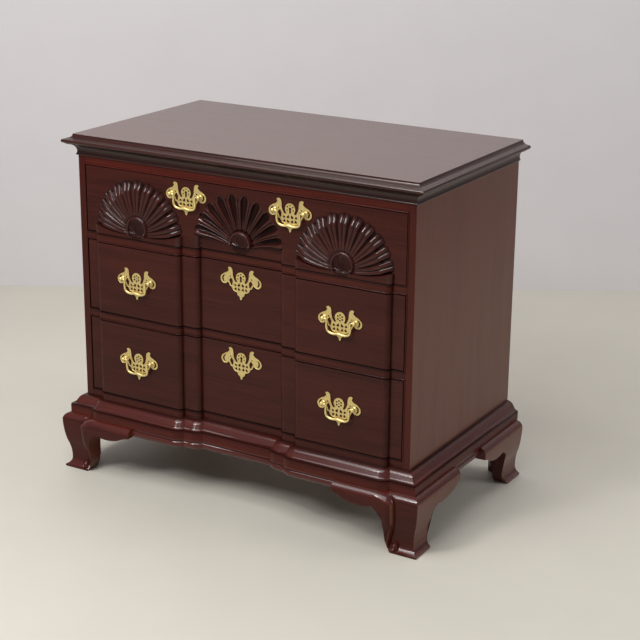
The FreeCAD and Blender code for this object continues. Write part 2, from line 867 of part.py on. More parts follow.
def plate_half_outline():
    """Right half of the pierced plate from its top to its finial, around its round boss."""
    boss = arc((0, 12.7), (9, 9), (12.2, -3.5), 3)
    horn_inside = arc((14.2, -8.8), (19.3, 0), (21, 10), 2)
    horn_top = arc((22, 16), (28, 21.3), (33.5, 19.5), 2)
    slope = [(31.3, 13.5), (36, 9), (43, 6)]
    ear = arc((48.5, 2), (53.2, -7), (45, -17.8), 3)
    cleft = [(38.5, -17.3), (33.5, -13), (30.5, -16.5), (28, -21.5), (24, -22.5)]
    lobe = arc((22.5, -26), (18.5, -31), (12.5, -33), 2)
    finial = [(9.6, -35), (9.2, -39), (3.2, -43.5), (2.6, -47.5), (0, -50.5)]
    return boss + horn_inside + horn_top + slope + ear + cleft + lobe + finial


def plate_piercings():
    """Openings on the right half: two rows of drops and a slot."""
    drops = []
    for x, z in ((5, -15.5), (14.3, -15.3), (4.7, -24.5), (14.3, -24.5)):
        drops.append([(x, z + 3), (x + 2.2, z - 2), (x - 2.2, z - 2)])
    slot = [(20.5, -12), (22.7, -13), (27.3, -5), (25.8, -4)]
    return drops + [slot]


def boss_piercings(keyhole):
    if keyhole:
        bow = turn((0, 0.8), 2.4, -60, 240, 4)
        return [bow + [(-1.8, -9.5), (1.8, -9.5)]]
    petals = []
    for sx in (-1, 1):
        for sz in (-1, 1):
            petals.append([(sx * 2, sz * 4), (sx * 4, sz * 2.2), (sx * 7, sz * 4.5),
                           (sx * 4.5, sz * 7)])
    return petals


def placed(outline, x, z):
    """Plate outline at its real width, moved to its place."""
    scale = plate_width / (2 * max(u for u, w in plate_half_outline()))
    return [(x + u * scale, z + w * scale) for u, w in outline]


def make_plate(x, y, z, keyhole):
    """Pierced plate with its back on the drawer face and its boss at (x, z)."""
    right = plate_half_outline()
    outline = right + [(-u, w) for u, w in reversed(right[1:-1])]
    holes = plate_piercings()
    holes += [[(-u, w) for u, w in hole] for hole in plate_piercings()]
    holes += boss_piercings(keyhole)
    plate = front_board(placed(outline, x, z), y - plate_thickness, y)
    front = y - plate_thickness - 1
    return plate.cut([front_board(placed(hole, x, z), front, y + 1) for hole in holes])


def make_pull_plates(name, bottom, height):
    places = pull_places(name, bottom, height)
    plates = []
    for x, y, z in places:
        plate = make_plate(x, y, z, name == "top")
        plates.append(plate.cut(shank_holes([(x, y, z)], y - plate_thickness - 1, y + 1)))
    return group(plates)


def make_post(x, y, z):
    """Turned post with a cross hole for the bail, and its shank through the drawer front."""
    pivot = plate_thickness + pivot_offset
    head = post_head_radius
    inner_end = y - face_y - drawer_front_thickness - nut_thickness - nut_washer
    profile = [(head * 0.7, pivot + head * 0.9), (head, pivot),
               (post_stem_radius, pivot - head),
               (post_stem_radius, plate_thickness + 2), (post_base_radius, plate_thickness + 1),
               (post_base_radius, plate_thickness), (post_shank_radius, plate_thickness),
               (post_shank_radius, inner_end)]
    turned = bar(profile, V(x, y, z), V(0, -1, 0), post_sides)
    radius = bail_pin_radius + bail_pin_clearance
    hole = bar([(radius, 0), (radius, 2 * head + 2)], V(x - head - 1, y - pivot, z), V(1, 0, 0),
               post_sides)
    return turned.cut(hole)


def make_nut(x, z):
    """Square nut on the inside of the drawer front."""
    y0 = face_y + drawer_front_thickness
    y1 = y0 + nut_thickness
    nut = slab(x - nut_size / 2, x + nut_size / 2, y0, y1, z - nut_size / 2, z + nut_size / 2)
    return nut.cut(shank_hole(x, z, y0 - 1, y1 + 1))


def make_posts(name, bottom, height):
    pieces = []
    for x, y, z in pull_places(name, bottom, height):
        for side in (-1, 1):
            post_x = x + side * post_spacing / 2
            pieces.append(make_post(post_x, y, z - post_drop))
            pieces.append(make_nut(post_x, z - post_drop))
    return group(pieces)


def bail_half_path():
    """Right half of the bail's centre line as (x, drop) from between the posts."""
    reach = post_spacing / 2
    pin = [(reach + post_head_radius, 0), (reach - post_head_radius - 1.5, 0)]
    neck = arc(pin[-1], (reach - 8.7, -1.2), (reach - 9.8, -5), 2)
    side = arc(neck[-1], (reach - 9.1, -13), (reach - 10.4, -22.5), 2)
    corner = arc(side[-1], (reach - 14, -27.5), (reach - 20, -29.8), 2)
    bow = arc(corner[-1], (reach - 29, -30.3), (0, -29), 2)
    return pin + neck[1:] + side[1:] + corner[1:] + bow[1:]


def make_bail(x, y, z):
    """Swan necked bail hanging from its two pins, swelling towards the middle."""
    right = bail_half_path()
    path = right + [(-u, w) for u, w in reversed(right[:-1])]
    pivot_y = y - plate_thickness - pivot_offset
    lowest = min(w for u, w in path)
    rings = []
    for k, (u, w) in enumerate(path):
        before = path[max(k - 1, 0)]
        after = path[min(k + 1, len(path) - 1)]
        along = V(after[0] - before[0], 0, after[1] - before[1]).normalize()
        across = V(0, 1, 0).cross(along)
        radius = bail_pin_radius + (bail_swell - bail_pin_radius) * (w / lowest)
        centre = V(x + u, pivot_y, z - post_drop + w)
        ring = []
        for n in range(bail_sides):
            a = 2 * math.pi * n / bail_sides
            ring.append(centre + across * (radius * math.cos(a)) + V(0, radius * math.sin(a), 0))
        rings.append(ring)
    return solid_from_rings(rings)


def make_brasses(name, bottom, height):
    export(name + "_pull_plates", make_pull_plates(name, bottom, height))
    export(name + "_pull_posts", make_posts(name, bottom, height))
    for side, place in zip(("left", "right"), pull_places(name, bottom, height)):
        export(name + "_" + side + "_bail", make_bail(*place))
    if name != "top":
        z = bottom + height - escutcheon_drop
        export(name + "_escutcheon", make_plate(0, face_y + recess_depth, z, True))


# ---------------------------------------------------------------- build

def make_case():
    side = make_side()
    stile = make_stile()
    export("top_board", make_top())
    export("cove_moulding", make_cove())
    export("side_panel_right", side)
    export("side_panel_left", mirror_x(side))
    export("back_panel", make_back())
    export("stile_right", stile)
    export("stile_left", mirror_x(stile))
    export("top_rail", make_top_rail())
    export("upper_rail", make_middle_rail(upper_rail_bottom))
    export("lower_rail", make_middle_rail(lower_rail_bottom))
    export("bottom_rail", make_bottom_rail())
    export("drawer_runners", make_runners())
    export("upper_dust_panel", make_dust_panel(upper_rail_bottom))
    export("lower_dust_panel", make_dust_panel(lower_rail_bottom))
    export("case_bottom", make_dust_panel(bottom_opening - rail_height))
    export("drawer_kickers", make_kickers())
    export("top_cleats", make_cleats())
    export("drawer_stops", make_stops())


def make_base():
    side = follow_side(base_profile())
    front_foot = make_front_foot()
    rear_foot = make_rear_foot()
    export("base_moulding_front", follow_front(base_profile()))
    export("base_moulding_right", side)
    export("base_moulding_left", mirror_x(side))
    export("skirt_front", make_front_skirt())
    export("skirt_sides", make_side_skirts())
    export("foot_front_right", front_foot)
    export("foot_front_left", mirror_x(front_foot))
    export("foot_rear_right", rear_foot)
    export("foot_rear_left", mirror_x(rear_foot))


def make_shells():
    outer = make_outer_shell()
    export("shell_right", outer)
    export("shell_left", mirror_x(outer))
    export("shell_middle", make_middle_shell())


def main():
    os.makedirs("parts", exist_ok=True)
    make_case()
    make_base()
    make_shells()
    for name, bottom, height in drawer_levels():
        make_drawer(name, bottom, height)
        make_brasses(name, bottom, height)


main()
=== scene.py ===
"""Looks of a mahogany block front chest: mouldings, blocked fronts, shells, feet and pulls."""

import json
from bisect import bisect_right
from math import asin, atan2, cos, hypot, pi, radians, sin, sqrt, tau

import bmesh
import bpy
from mathutils import Matrix, Vector


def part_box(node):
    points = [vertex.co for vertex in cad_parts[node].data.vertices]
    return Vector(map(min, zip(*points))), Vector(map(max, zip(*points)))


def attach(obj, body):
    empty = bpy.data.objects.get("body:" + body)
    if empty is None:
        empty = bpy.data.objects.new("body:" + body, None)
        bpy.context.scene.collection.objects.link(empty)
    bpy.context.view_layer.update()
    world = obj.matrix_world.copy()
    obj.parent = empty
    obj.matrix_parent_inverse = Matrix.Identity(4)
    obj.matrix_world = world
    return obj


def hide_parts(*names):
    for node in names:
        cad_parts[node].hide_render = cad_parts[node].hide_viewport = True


bl_info = {
    "name": "Block Front Chest",
    "version": (1, 0, 0),
    "blender": (4, 5, 0),
    "location": "View3D > Sidebar > Chest",
    "description": "Builds the shown pieces of a block front chest of drawers on its fixed frame",
    "category": "Object",
}

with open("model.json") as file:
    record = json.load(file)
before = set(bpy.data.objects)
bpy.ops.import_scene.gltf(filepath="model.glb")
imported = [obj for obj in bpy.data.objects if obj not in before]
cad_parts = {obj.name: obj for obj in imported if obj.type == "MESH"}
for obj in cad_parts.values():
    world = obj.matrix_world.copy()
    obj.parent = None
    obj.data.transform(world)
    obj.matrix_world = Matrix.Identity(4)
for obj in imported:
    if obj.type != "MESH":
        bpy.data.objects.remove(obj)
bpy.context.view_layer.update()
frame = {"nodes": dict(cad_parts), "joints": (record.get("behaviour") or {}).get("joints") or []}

MM = 0.001
SAME_POINT = 2e-6       # points nearer than this are one
ROUND_OFF = 1e-9        # slack where two sums should come out equal
NEARLY_NONE = 1e-5      # shares and directions smaller than this count as none
QUIRK_WIDTH = 0.6 * MM  # fine line beside a bead
QUIRK_DEPTH = 0.5 * MM
DRAWER_GAP = 1.5 * MM   # clearance round a drawer front


def low(node):
    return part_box(node)[0]


def high(node):
    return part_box(node)[1]


# Planes of the case, taken from the frame, in metres.
HALF_WIDTH = high("side_panel_right").x
OPENING_HALF = low("side_panel_right").x
BACK_Y = high("side_panel_right").y
STILE_BACK = low("side_panel_right").y
FACE_Y = low("top_drawer_front").y
BLOCK_RISE = FACE_Y - low("middle_drawer_front").y
FOOT_TOP = low("base_moulding_front").z
COVE_BOTTOM = low("cove_moulding").z
HEIGHT = high("top_board").z
LEVELS = ("top", "middle", "bottom")


# ------------------------------------------------------------------ sizes and colours

def length(name, description, millimetres):
    return bpy.props.FloatProperty(name=name, description=description, default=millimetres * MM,
                                   subtype="DISTANCE", unit="LENGTH", precision=4)


def whole(name, description, default):
    return bpy.props.IntProperty(name=name, description=description, default=default, min=1)


def share(name, description, default):
    return bpy.props.FloatProperty(name=name, description=description, default=default,
                                   subtype="FACTOR", min=0, max=1)


def angle(name, description, default):
    return bpy.props.FloatProperty(name=name, description=description, default=radians(default),
                                   subtype="ANGLE", unit="ROTATION")


def linear(level):
    """A screen level from 0 to 255 as a linear colour value."""
    c = level / 255
    return c / 12.92 if c <= 0.04045 else ((c + 0.055) / 1.055) ** 2.4


def colour(name, description, red, green, blue):
    return bpy.props.FloatVectorProperty(name=name, description=description, size=3, min=0, max=1,
                                         default=(linear(red), linear(green), linear(blue)),
                                         subtype="COLOR")


class BlockingSizes(bpy.types.PropertyGroup):
    """Plan of the blocked front."""
    block_outer: length("Raised field, outer edge", "From the middle of the chest", 380)
    block_inner: length("Raised field, inner edge", "From the middle of the chest", 148)
    recess_edge: length("Sunk field, edge", "From the middle of the chest", 118)
    recess_depth: length("Sunk field, depth", "Behind the plain face", 12.5)
    bead_height: length("Opening bead, height", "Fine bead round every drawer opening", 3)
    bead_overhang: length("Opening bead, overhang", "In front of the rail", 1.2)
    rail_depth: length("Rail depth", "From the plain face to the back of a rail", 60)
    soft_edge: length("Soft edge", "Rounding of the drawer fronts' edges", 0.8)
    arc_steps: whole("Arc steps", "Flats that make each quarter round of the blocking", 10)


class FootSizes(bpy.types.PropertyGroup):
    """Ogee bracket feet."""
    reach: length("Toe overhang", "From the case side to the foot's outer corner", 41)
    bracket: length("Bracket length", "From the foot's outer corner to the end of the wing", 200)
    setback: length("Inner face", "Overhang of the bracket's flat inner face", 5)
    end_inset: length("Rear end", "Rear feet stop short of the back by this much", 4)
    strip_sweep: length("Strip sweep", "How far the raised strip spreads outwards at the knee", 14)
    groove: length("Strip groove", "Depth of the carved line beside the raised strip", 2.4)
    shoulder: length("Strip shoulder", "Width of the rounded edge of the raised strip", 17)
    volute_radius: length("Volute radius", "Scroll at the bottom of the raised strip", 8.4)
    volute_inset: length("Volute inset", "From the foot's outer corner to the volute's eye", 55)
    volute_height: length("Volute height", "From the floor to the volute's eye", 14)
    block_size: length("Glue block", "Side of the block in the corner of each foot", 27)
    rows: whole("Rows", "Rows of faces from floor to base moulding", 56)


class ShellSizes(bpy.types.PropertyGroup):
    """Carved shells on the top drawer."""
    outer_radius: length("Raised shell, radius", "Circle that holds its outline", 118)
    outer_centre: length("Raised shell, centre", "Above the drawer's lower edge", 15)
    outer_lobes: whole("Raised shell, ridges", "Number of ridges", 11)
    outer_plain: angle("Raised shell, plain", "Plain field below the lowest ridge", 11)
    outer_turn: angle("Raised shell, eye", "Where the eye's bead ends, from level", -35)
    outer_bend: length("Raised shell, bend", "Rise of the lowest rays in their middle", -5)
    middle_radius: length("Sunk shell, radius", "Circle that holds its outline", 115)
    middle_centre: length("Sunk shell, centre", "Above the drawer's lower edge", 20)
    middle_lobes: whole("Sunk shell, flutes", "Number of hollow flutes", 10)
    middle_plain: angle("Sunk shell, plain", "Plain ground below the lowest ridge", 16)
    middle_turn: angle("Sunk shell, eye", "Where the eye's bead ends, from level", -15)
    middle_bend: length("Sunk shell, bend", "Rise of the lowest rays in their middle", 4)
    notch: share("Raised shell, notch", "Depth of its rim's notches, in rays", 0.055)
    middle_notch: share("Sunk shell, notch", "Depth of its rim's notches, in rays", 0.09)
    valley: length("Raised shell, valley", "Depth of the flutes between its ridges", 4.6)
    middle_valley: length("Sunk shell, valley", "Depth of its hollow flutes", 8.5)
    rosette_radius: length("Rosette radius", "Round eye at the foot of each shell", 27)
    rosette_centre: length("Rosette centre", "Above the drawer's lower edge", 24)
    rosette_flutes: whole("Rosette flutes", "Small flutes in the eye", 7)
    floor: length("Pocket floor", "Pocket of the sunk shell below the sunk field", 2)
    per_lobe: whole("Columns in a lobe", "Columns of faces in each lobe", 28)
    rows: whole("Rows", "Rows of faces from the eye to the rim", 112)


class BrassSizes(bpy.types.PropertyGroup):
    """Cast plates, posts and bails."""
    boss_rise: length("Boss above pivots", "Middle of the plate's boss above the pivots", 4.5)
    pivot_reach: length("Pivot in front", "Bail pivots in front of the drawer's face", 10.2)
    plate: length("Plate thickness", "At the raised rims", 2.2)
    key_drop: length("Key plate drop", "Middle of the boss below the plate's top", 21.3)
    post_spacing: length("Post spacing", "Between the two posts of a pull", 76)
    pin_radius: length("Bail end radius", "At the pivots", 1.6)
    bow_radius: length("Bail bow radius", "In the middle of the bail", 2.75)
    lean: length("Bail lean", "The bow hangs nearer the plate by this much", 2)


class Finishes(bpy.types.PropertyGroup):
    """Colours and gloss, with lighter and darker copies of the mahogany as painted light and shade.
    """
    front_dark: colour("Front, dark", "Dark grain of the drawer fronts", 38, 14, 11)
    front_light: colour("Front, light", "Light grain of the drawer fronts", 73, 31, 24)
    case_dark: colour("Case, dark", "Dark grain of the case and mouldings", 48, 14, 10)
    case_light: colour("Case, light", "Light grain of the case and mouldings", 92, 34, 25)
    # The wood's own colour made darker for the top's edge and cove: painted shade.
    cornice_dark: colour("Cornice, dark", "Dark grain of the top's edge and cove", 34, 14, 11)
    cornice_light: colour("Cornice, light", "Light grain of the top's edge and cove", 66, 31, 25)
    rail_dark: colour("Rail, dark", "Dark grain of the rails and stiles", 42, 14, 10)
    rail_light: colour("Rail, light", "Light grain of the rails and stiles", 78, 31, 23)
    # The wood's own colour made lighter for the side panels and faces turned to the sides: partly
    # painted light.
    side_dark: colour("Side, dark", "Dark grain of the side panels", 78, 36, 23)
    side_light: colour("Side, light", "Light grain of the side panels", 106, 54, 34)
    # The wood's own colour made lighter and greyer for the top: partly painted sheen.
    top_dark: colour("Top, dark", "Dark grain of the top", 62, 38, 32)
    top_light: colour("Top, light", "Light grain of the top", 92, 62, 54)
    # Dark colour of the pores, and of the painted shade in hollows, creases and the gaps round the
    # drawers.
    shade_fill: colour("Glaze", "Dark glaze left in the hollows", 22, 9, 8)
    brass: colour("Brass", "Lacquered brass", 236, 212, 143)
    brass_dark: colour("Brass, dark", "Patina in the plates' low places", 44, 26, 12)
    lining: colour("Lining", "Drawer sides, backs and bottoms", 196, 160, 112)
    plain_wood: colour("Plain wood", "Unpolished inner wood", 150, 116, 82)
    gloss: share("Lacquer roughness", "Roughness of the polished wood", 0.30)


class StageSizes(bpy.types.PropertyGroup):
    """Floor, backdrop and camera."""
    floor: colour("Floor", "Plain pale floor", 201, 196, 184)
    wall: colour("Backdrop", "Plain pale backdrop", 213, 209, 210)
    wall_behind: length("Backdrop distance", "From the middle of the chest", 1480)
    azimuth: angle("Camera azimuth", "Round the chest from the front", 30.811)
    elevation: angle("Camera elevation", "Above the horizon", 18.176)
    roll: angle("Camera roll", "Turn about the line of sight", 0.517)
    distance: length("Camera distance", "From the aim point", 3676.8)
    lens: bpy.props.FloatProperty(name="Lens", description="Focal length on a 36 mm film",
                                  default=90.49, subtype="DISTANCE_CAMERA")


class ChestSettings(bpy.types.PropertyGroup):
    """All the chest's sizes and colours."""
    blocking: bpy.props.PointerProperty(type=BlockingSizes)
    feet: bpy.props.PointerProperty(type=FootSizes)
    shells: bpy.props.PointerProperty(type=ShellSizes)
    brasses: bpy.props.PointerProperty(type=BrassSizes)
    finishes: bpy.props.PointerProperty(type=Finishes)
    stage: bpy.props.PointerProperty(type=StageSizes)


def settings(group):
    return getattr(bpy.context.scene.block_front_chest, group)


# ------------------------------------------------------------------ lines and arcs

def arc(start, via, end, steps):
    """Points on the circle through three points."""
    (ax, ay), (bx, by), (cx, cy) = start, via, end
    a, b, c = ax * ax + ay * ay, bx * bx + by * by, cx * cx + cy * cy
    d = 2 * (ax * (by - cy) + bx * (cy - ay) + cx * (ay - by))
    x = (a * (by - cy) + b * (cy - ay) + c * (ay - by)) / d
    y = (a * (cx - bx) + b * (ax - cx) + c * (bx - ax)) / d
    first = atan2(ay - y, ax - x)
    sweep = (atan2(cy - y, cx - x) - first) % tau
    if (atan2(by - y, bx - x) - first) % tau > sweep:
        sweep -= tau
    return [(x + hypot(ax - x, ay - y) * cos(first + sweep * k / steps),
             y + hypot(ax - x, ay - y) * sin(first + sweep * k / steps))
            for k in range(steps + 1)]


def oval(x, y, rx, ry, start, stop, steps):
    """Points on an ellipse, from one angle in degrees to another."""
    angles = [radians(start + (stop - start) * k / steps) for k in range(steps + 1)]
    return [(x + rx * cos(a), y + ry * sin(a)) for a in angles]


def in_metres(points):
    return [(a * MM, b * MM) for a, b in points]


def above(level, points):
    """Profile of (overhang, z) in millimetres from a level, in metres from the floor."""
    return [(out, level + z) for out, z in in_metres(points)]


def between(a, b, t):
    return a + (b - a) * t


def value_at(x, table):
    """Straight line reading of a table of (x, value) in rising x."""
    if x <= table[0][0]:
        return table[0][1]
    if x >= table[-1][0]:
        return table[-1][1]
    k = bisect_right([row[0] for row in table], x)
    (x0, v0), (x1, v1) = table[k - 1], table[k]
    return between(v0, v1, (x - x0) / (x1 - x0))


# ------------------------------------------------------------------ plan of the front

def plan_edge(x, y, radius, reach, sign):
    """Quarter round of the blocking, from its crown out to where it meets a plane."""
    steps = settings("blocking").arc_steps
    last = asin(reach / radius)
    angles = [between(pi / 2, last, k / steps) for k in range(steps + 1)]
    return [(x + sign * radius * cos(a), y - radius * sin(a)) for a in angles]


def half_front(out, end, to_wing):
    """Right half of the blocked line that stands out from the case, from the middle."""
    b = settings("blocking")
    sunk_y = FACE_Y + b.recess_depth
    sunk = plan_edge(b.recess_edge, sunk_y, b.recess_depth + out, out, -1)
    inner = plan_edge(b.block_inner + BLOCK_RISE, FACE_Y, BLOCK_RISE + out, out, -1)
    line = [(0, sunk_y - out)] + sunk[::-1] + inner[::-1]
    if to_wing:
        return line + [(end, FACE_Y - BLOCK_RISE - out)]
    outer = plan_edge(b.block_outer - BLOCK_RISE, FACE_Y, BLOCK_RISE + out, out, 1)
    return line + outer + [(end, FACE_Y - out)]


def both_halves(half):
    return [(-x, y) for x, y in half[:0:-1]] + half


def blocked_line(out, end, to_wing=False):
    return both_halves(half_front(out, end, to_wing))


def straight_line(out, end):
    return [(-end, FACE_Y - out), (end, FACE_Y - out)]


def round_case(out, front):
    """Plan line from the back, round the front, to the back again."""
    end = HALF_WIDTH + out
    return [(-end, BACK_Y)] + front(out, end) + [(end, BACK_Y)]


# ------------------------------------------------------------------ mesh helpers

def skin(bm, rings, closed=True):
    """Faces between neighbouring rings of points, and a face over either end."""
    rows = [[bm.verts.new(p) for p in ring] for ring in rings]
    for a, b in zip(rows, rows[1:]):
        count = len(a)
        for k in range(count if closed else count - 1):
            bm.faces.new((a[k], a[(k + 1) % count], b[(k + 1) % count], b[k]))
    bm.faces.new(rows[0])
    bm.faces.new(rows[-1])
    return rows


def sweep(bm, profile, line_at):
    """Moulding: a closed profile of (overhang, z) run along the line that each overhang has."""
    lines = [line_at(out) for out, z in profile]
    rings = [[(*line[k], z) for line, (out, z) in zip(lines, profile)]
             for k in range(len(lines[0]))]
    skin(bm, rings)


def hollow_layer(bm):
    """Share of painted shade on the wood, or of patina on the brass, at each point, which the
    materials read.
    """
    return bm.verts.layers.float.get("hollow") or bm.verts.layers.float.new("hollow")


def shade_fill(bm, level, table):
    """Marks how much painted shade the wood gets by the height above a level, from rows of (mm,
    share).
    """
    layer = hollow_layer(bm)
    for vert in bm.verts:
        vert[layer] = value_at((vert.co.z - level) / MM, table)


def prism(bm, outline, start, stop, axis="Z"):
    """Outline pushed along an axis: (x, y) for Z, (x, z) for Y and (y, z) for X."""
    places = {"Z": lambda a, b, c: (a, b, c), "Y": lambda a, b, c: (a, c, b),
              "X": lambda a, b, c: (c, a, b)}[axis]
    skin(bm, [[places(a, b, c) for a, b in outline] for c in (start, stop)])


def merge_points(bm):
    bmesh.ops.remove_doubles(bm, verts=bm.verts, dist=SAME_POINT)
    bmesh.ops.dissolve_degenerate(bm, dist=SAME_POINT, edges=bm.edges)


def tidy_mesh(bm):
    merge_points(bm)
    bmesh.ops.recalc_face_normals(bm, faces=bm.faces)


def soften(bm, width, chosen=None):
    """Rounds the edges that turn by more than 30 degrees."""
    tidy_mesh(bm)
    edges = [e for e in bm.edges
             if len(e.link_faces) == 2 and e.calc_face_angle(0) > radians(30)
             and (chosen is None or chosen(e))]
    bmesh.ops.bevel(bm, geom=edges, offset=width, segments=2, profile=0.5,
                    affect="EDGES", clamp_overlap=True)


def mirrored(bm):
    """Adds the mirror image about the middle of the chest."""
    copy = bmesh.ops.duplicate(bm, geom=bm.verts[:] + bm.edges[:] + bm.faces[:])["geom"]
    twins = [v for v in copy if isinstance(v, bmesh.types.BMVert)]
    bmesh.ops.scale(bm, vec=(-1, 1, 1), verts=twins)


def to_mesh(bm, name, sharp=None):
    """Mesh of the worked faces, smooth apart from edges that turn by more degrees than sharp."""
    mesh = bpy.data.meshes.new(name)
    bm.to_mesh(mesh)
    bm.free()
    if sharp is not None:
        mesh.shade_smooth()
        mesh.set_sharp_from_angle(angle=radians(sharp))
    return mesh


def link(name, data):
    """Object in the scene for a mesh, curve, light or camera."""
    obj = bpy.data.objects.new(name, data)
    bpy.context.scene.collection.objects.link(obj)
    return obj


def piece(bm, name, material, body, nodes, sharp):
    """Turns worked faces into a piece that rides on its body, in place of its CAD nodes."""
    tidy_mesh(bm)
    for face in bm.faces:
        face.material_index = 0
    mesh = to_mesh(bm, name, sharp)
    mesh.materials.append(material)
    obj = link(name, mesh)
    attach(obj, body)
    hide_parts(*nodes)
    return obj


def case_piece(bm, name, finish, nodes, sharp=34):
    return piece(bm, name, FINISHES[finish], "case", nodes, sharp)


def brass_piece(bm, name, body, node, sharp):
    return piece(bm, name, FINISHES["brass"], body, [node], sharp)


def drawer_piece(bm, name, finish, level, node, sharp):
    return piece(bm, name, FINISHES[finish], level + "_drawer", [node], sharp)


def refinish(obj, finish, chosen):
    """Gives the chosen faces of a piece another finish."""
    obj.data.materials.append(FINISHES[finish])
    for face in obj.data.polygons:
        if chosen(face):
            face.material_index = len(obj.data.materials) - 1


# ------------------------------------------------------------------ node trees

class Term:
    """A number in a node tree. Arithmetic on it adds Math nodes."""

    def __init__(self, nodes, socket):
        self.nodes, self.socket = nodes, socket

    def math(self, operation, *terms):
        node = self.nodes.add("ShaderNodeMath", {"operation": operation}, dict(enumerate(terms)))
        return Term(self.nodes, node.outputs[0])

    def __add__(self, other):
        return self.math("ADD", self, other)

    def __sub__(self, other):
        return self.math("SUBTRACT", self, other)

    def __rsub__(self, other):
        return self.math("SUBTRACT", other, self)

    def __mul__(self, other):
        return self.math("MULTIPLY", self, other)

    def __truediv__(self, other):
        return self.math("DIVIDE", self, other)

    def __pow__(self, other):
        return self.math("POWER", self, other)

    def __gt__(self, other):
        return self.math("GREATER_THAN", self, other)

    def __lt__(self, other):
        return self.math("LESS_THAN", self, other)

    def __mod__(self, other):
        return self.math("FLOORED_MODULO", self, other)

    def __abs__(self):
        return self.math("ABSOLUTE", self)

    __radd__, __rmul__ = __add__, __mul__

    def sin(self):
        return self.math("SINE", self)

    def cos(self):
        return self.math("COSINE", self)

    def root(self):
        return self.math("SQRT", self.least(0))

    def least(self, other):
        """Never below the other value."""
        return self.math("MAXIMUM", self, other)

    def most(self, other):
        """Never above the other value."""
        return self.math("MINIMUM", self, other)

    def unit(self):
        return self.least(0).most(1)

    def ramp(self, start, stop):
        """0 up to start, 1 from stop on."""
        return ((self - start) / (stop - start)).unit()


class Nodes:
    """Adds nodes to a shader or geometry tree."""

    def __init__(self, tree):
        self.tree = tree

    def add(self, kind, options=None, inputs=None):
        node = self.tree.nodes.new(kind)
        for key, value in (options or {}).items():
            setattr(node, key, value)
        for key, value in (inputs or {}).items():
            self.feed(self.find(node.inputs, key), value)
        return node

    def find(self, sockets, key):
        if isinstance(key, int):
            return sockets[key]
        for socket in sockets:
            if key == socket.identifier or (key == socket.name and socket.enabled):
                return socket
        raise KeyError(f"no socket named {key}")

    def feed(self, socket, value):
        if isinstance(value, Term):
            value = value.socket
        if isinstance(value, bpy.types.NodeSocket):
            self.tree.links.new(value, socket)
        elif socket.type == "RGBA" and len(value) == 3:
            socket.default_value = (*value, 1)
        else:
            socket.default_value = value

    def term(self, node, key=0):
        return Term(self, self.find(node.outputs, key))

    def blend(self, factor, a, b):
        """Colour between two colours."""
        node = self.add("ShaderNodeMix", {"data_type": "RGBA"},
                        {"Factor_Float": factor, "A_Color": a, "B_Color": b})
        return self.find(node.outputs, "Result_Color")

    def vector(self, x, y, z):
        return self.add("ShaderNodeCombineXYZ", None, {0: x, 1: y, 2: z}).outputs[0]

    def parts(self, vector):
        """The three numbers of a vector."""
        node = self.add("ShaderNodeSeparateXYZ", None, {0: vector})
        return [self.term(node, k) for k in range(3)]

    def noise(self, vector, detail, scale=1.0):
        return self.term(self.add("ShaderNodeTexNoise", {"noise_dimensions": "3D"},
                                  {"Vector": vector, "Scale": scale, "Detail": detail,
                                   "Roughness": 0.55}))

    def hollow(self):
        """Share of painted shade (on the wood) or of patina (on the brass) stored in the mesh."""
        return self.term(self.add("ShaderNodeAttribute", {"attribute_name": "hollow"}), "Fac")

    def relief(self, strength, depth, height):
        """Bumps of a depth in metres, as a normal."""
        return self.add("ShaderNodeBump", None, {"Strength": strength, "Distance": depth,
                                                 "Height": height}).outputs[0]

    def feed_all(self, shader, values):
        for key, value in values.items():
            self.feed(shader.inputs[key], value)


def new_material(name):
    """Empty material with its Principled shader and tree."""
    material = bpy.data.materials.new(name)
    material.use_nodes = True
    tree = material.node_tree
    tree.nodes.clear()
    nodes = Nodes(tree)
    shader = nodes.add("ShaderNodeBsdfPrincipled")
    nodes.add("ShaderNodeOutputMaterial", None, {"Surface": shader.outputs[0]})
    return material, nodes, shader


# ------------------------------------------------------------------ finishes

def grain_axes(nodes, run):
    """Object coordinates as (along the grain, across, across)."""
    x, y, z = nodes.parts(nodes.add("ShaderNodeTexCoord").outputs["Object"])
    if run == "X":
        return x, y, z
    if run == "Y":
        return y, x, z
    if run == "Z":
        return z, x, y
    side = (abs(x) - HALF_WIDTH) > (FACE_Y - y)
    return x + (y - x) * side, y + (x - y) * side, z


def wood_figure(nodes, run):
    """Broad figure, fine streaks and pores of straight grained wood, each about 0 to 1.

    The factors of along, across and deep are the cells of each noise in a metre.
    """
    along, across, deep = grain_axes(nodes, run)
    drift = nodes.noise(nodes.vector(along * 3, across * 8, deep * 8), 2)
    bent = (drift - 0.5) * 0.012
    broad = nodes.noise(nodes.vector(along * 2.2, across * 34 + bent * 40, deep * 34), 4)
    fine = nodes.noise(nodes.vector(along * 7, (across + bent) * 330, (deep + bent) * 330), 4)
    pores = nodes.noise(nodes.vector(along * 60, across * 1500, deep * 1500), 2)
    return broad, fine, pores.ramp(0.60, 0.70)


def polished_wood(name, dark, light, run, gloss, pore_and_shade_colour, sheen, coat):
    """Stained and lacquered mahogany with its grain along one axis, and painted shade in its marked
    hollows.
    """
    material, nodes, shader = new_material(name)
    broad, fine, pores = wood_figure(nodes, run)
    tone = ((broad - 0.5) * 0.9 + (fine - 0.5) + 0.5).unit()
    wood = nodes.blend(tone, dark, light)
    wood = nodes.blend(pores * 0.35, wood, pore_and_shade_colour)
    # Painted shade: the marked hollows, creases and gaps turn towards the dark colour and their
    # clear coat is thinned.
    hollow = nodes.hollow()
    wood = nodes.blend((hollow * 0.9).unit(), wood, pore_and_shade_colour)
    nodes.feed_all(shader, {
        "Base Color": wood,
        "Roughness": (fine - 0.5) * 0.10 + pores * 0.10 + gloss + hollow * 0.10,
        "Coat Weight": (1 - hollow).unit() * coat,
        "Coat Roughness": 0.09,
        "Specular IOR Level": sheen,
        "Normal": nodes.relief(0.10, 0.2 * MM, fine * 0.4 - pores)})
    return material


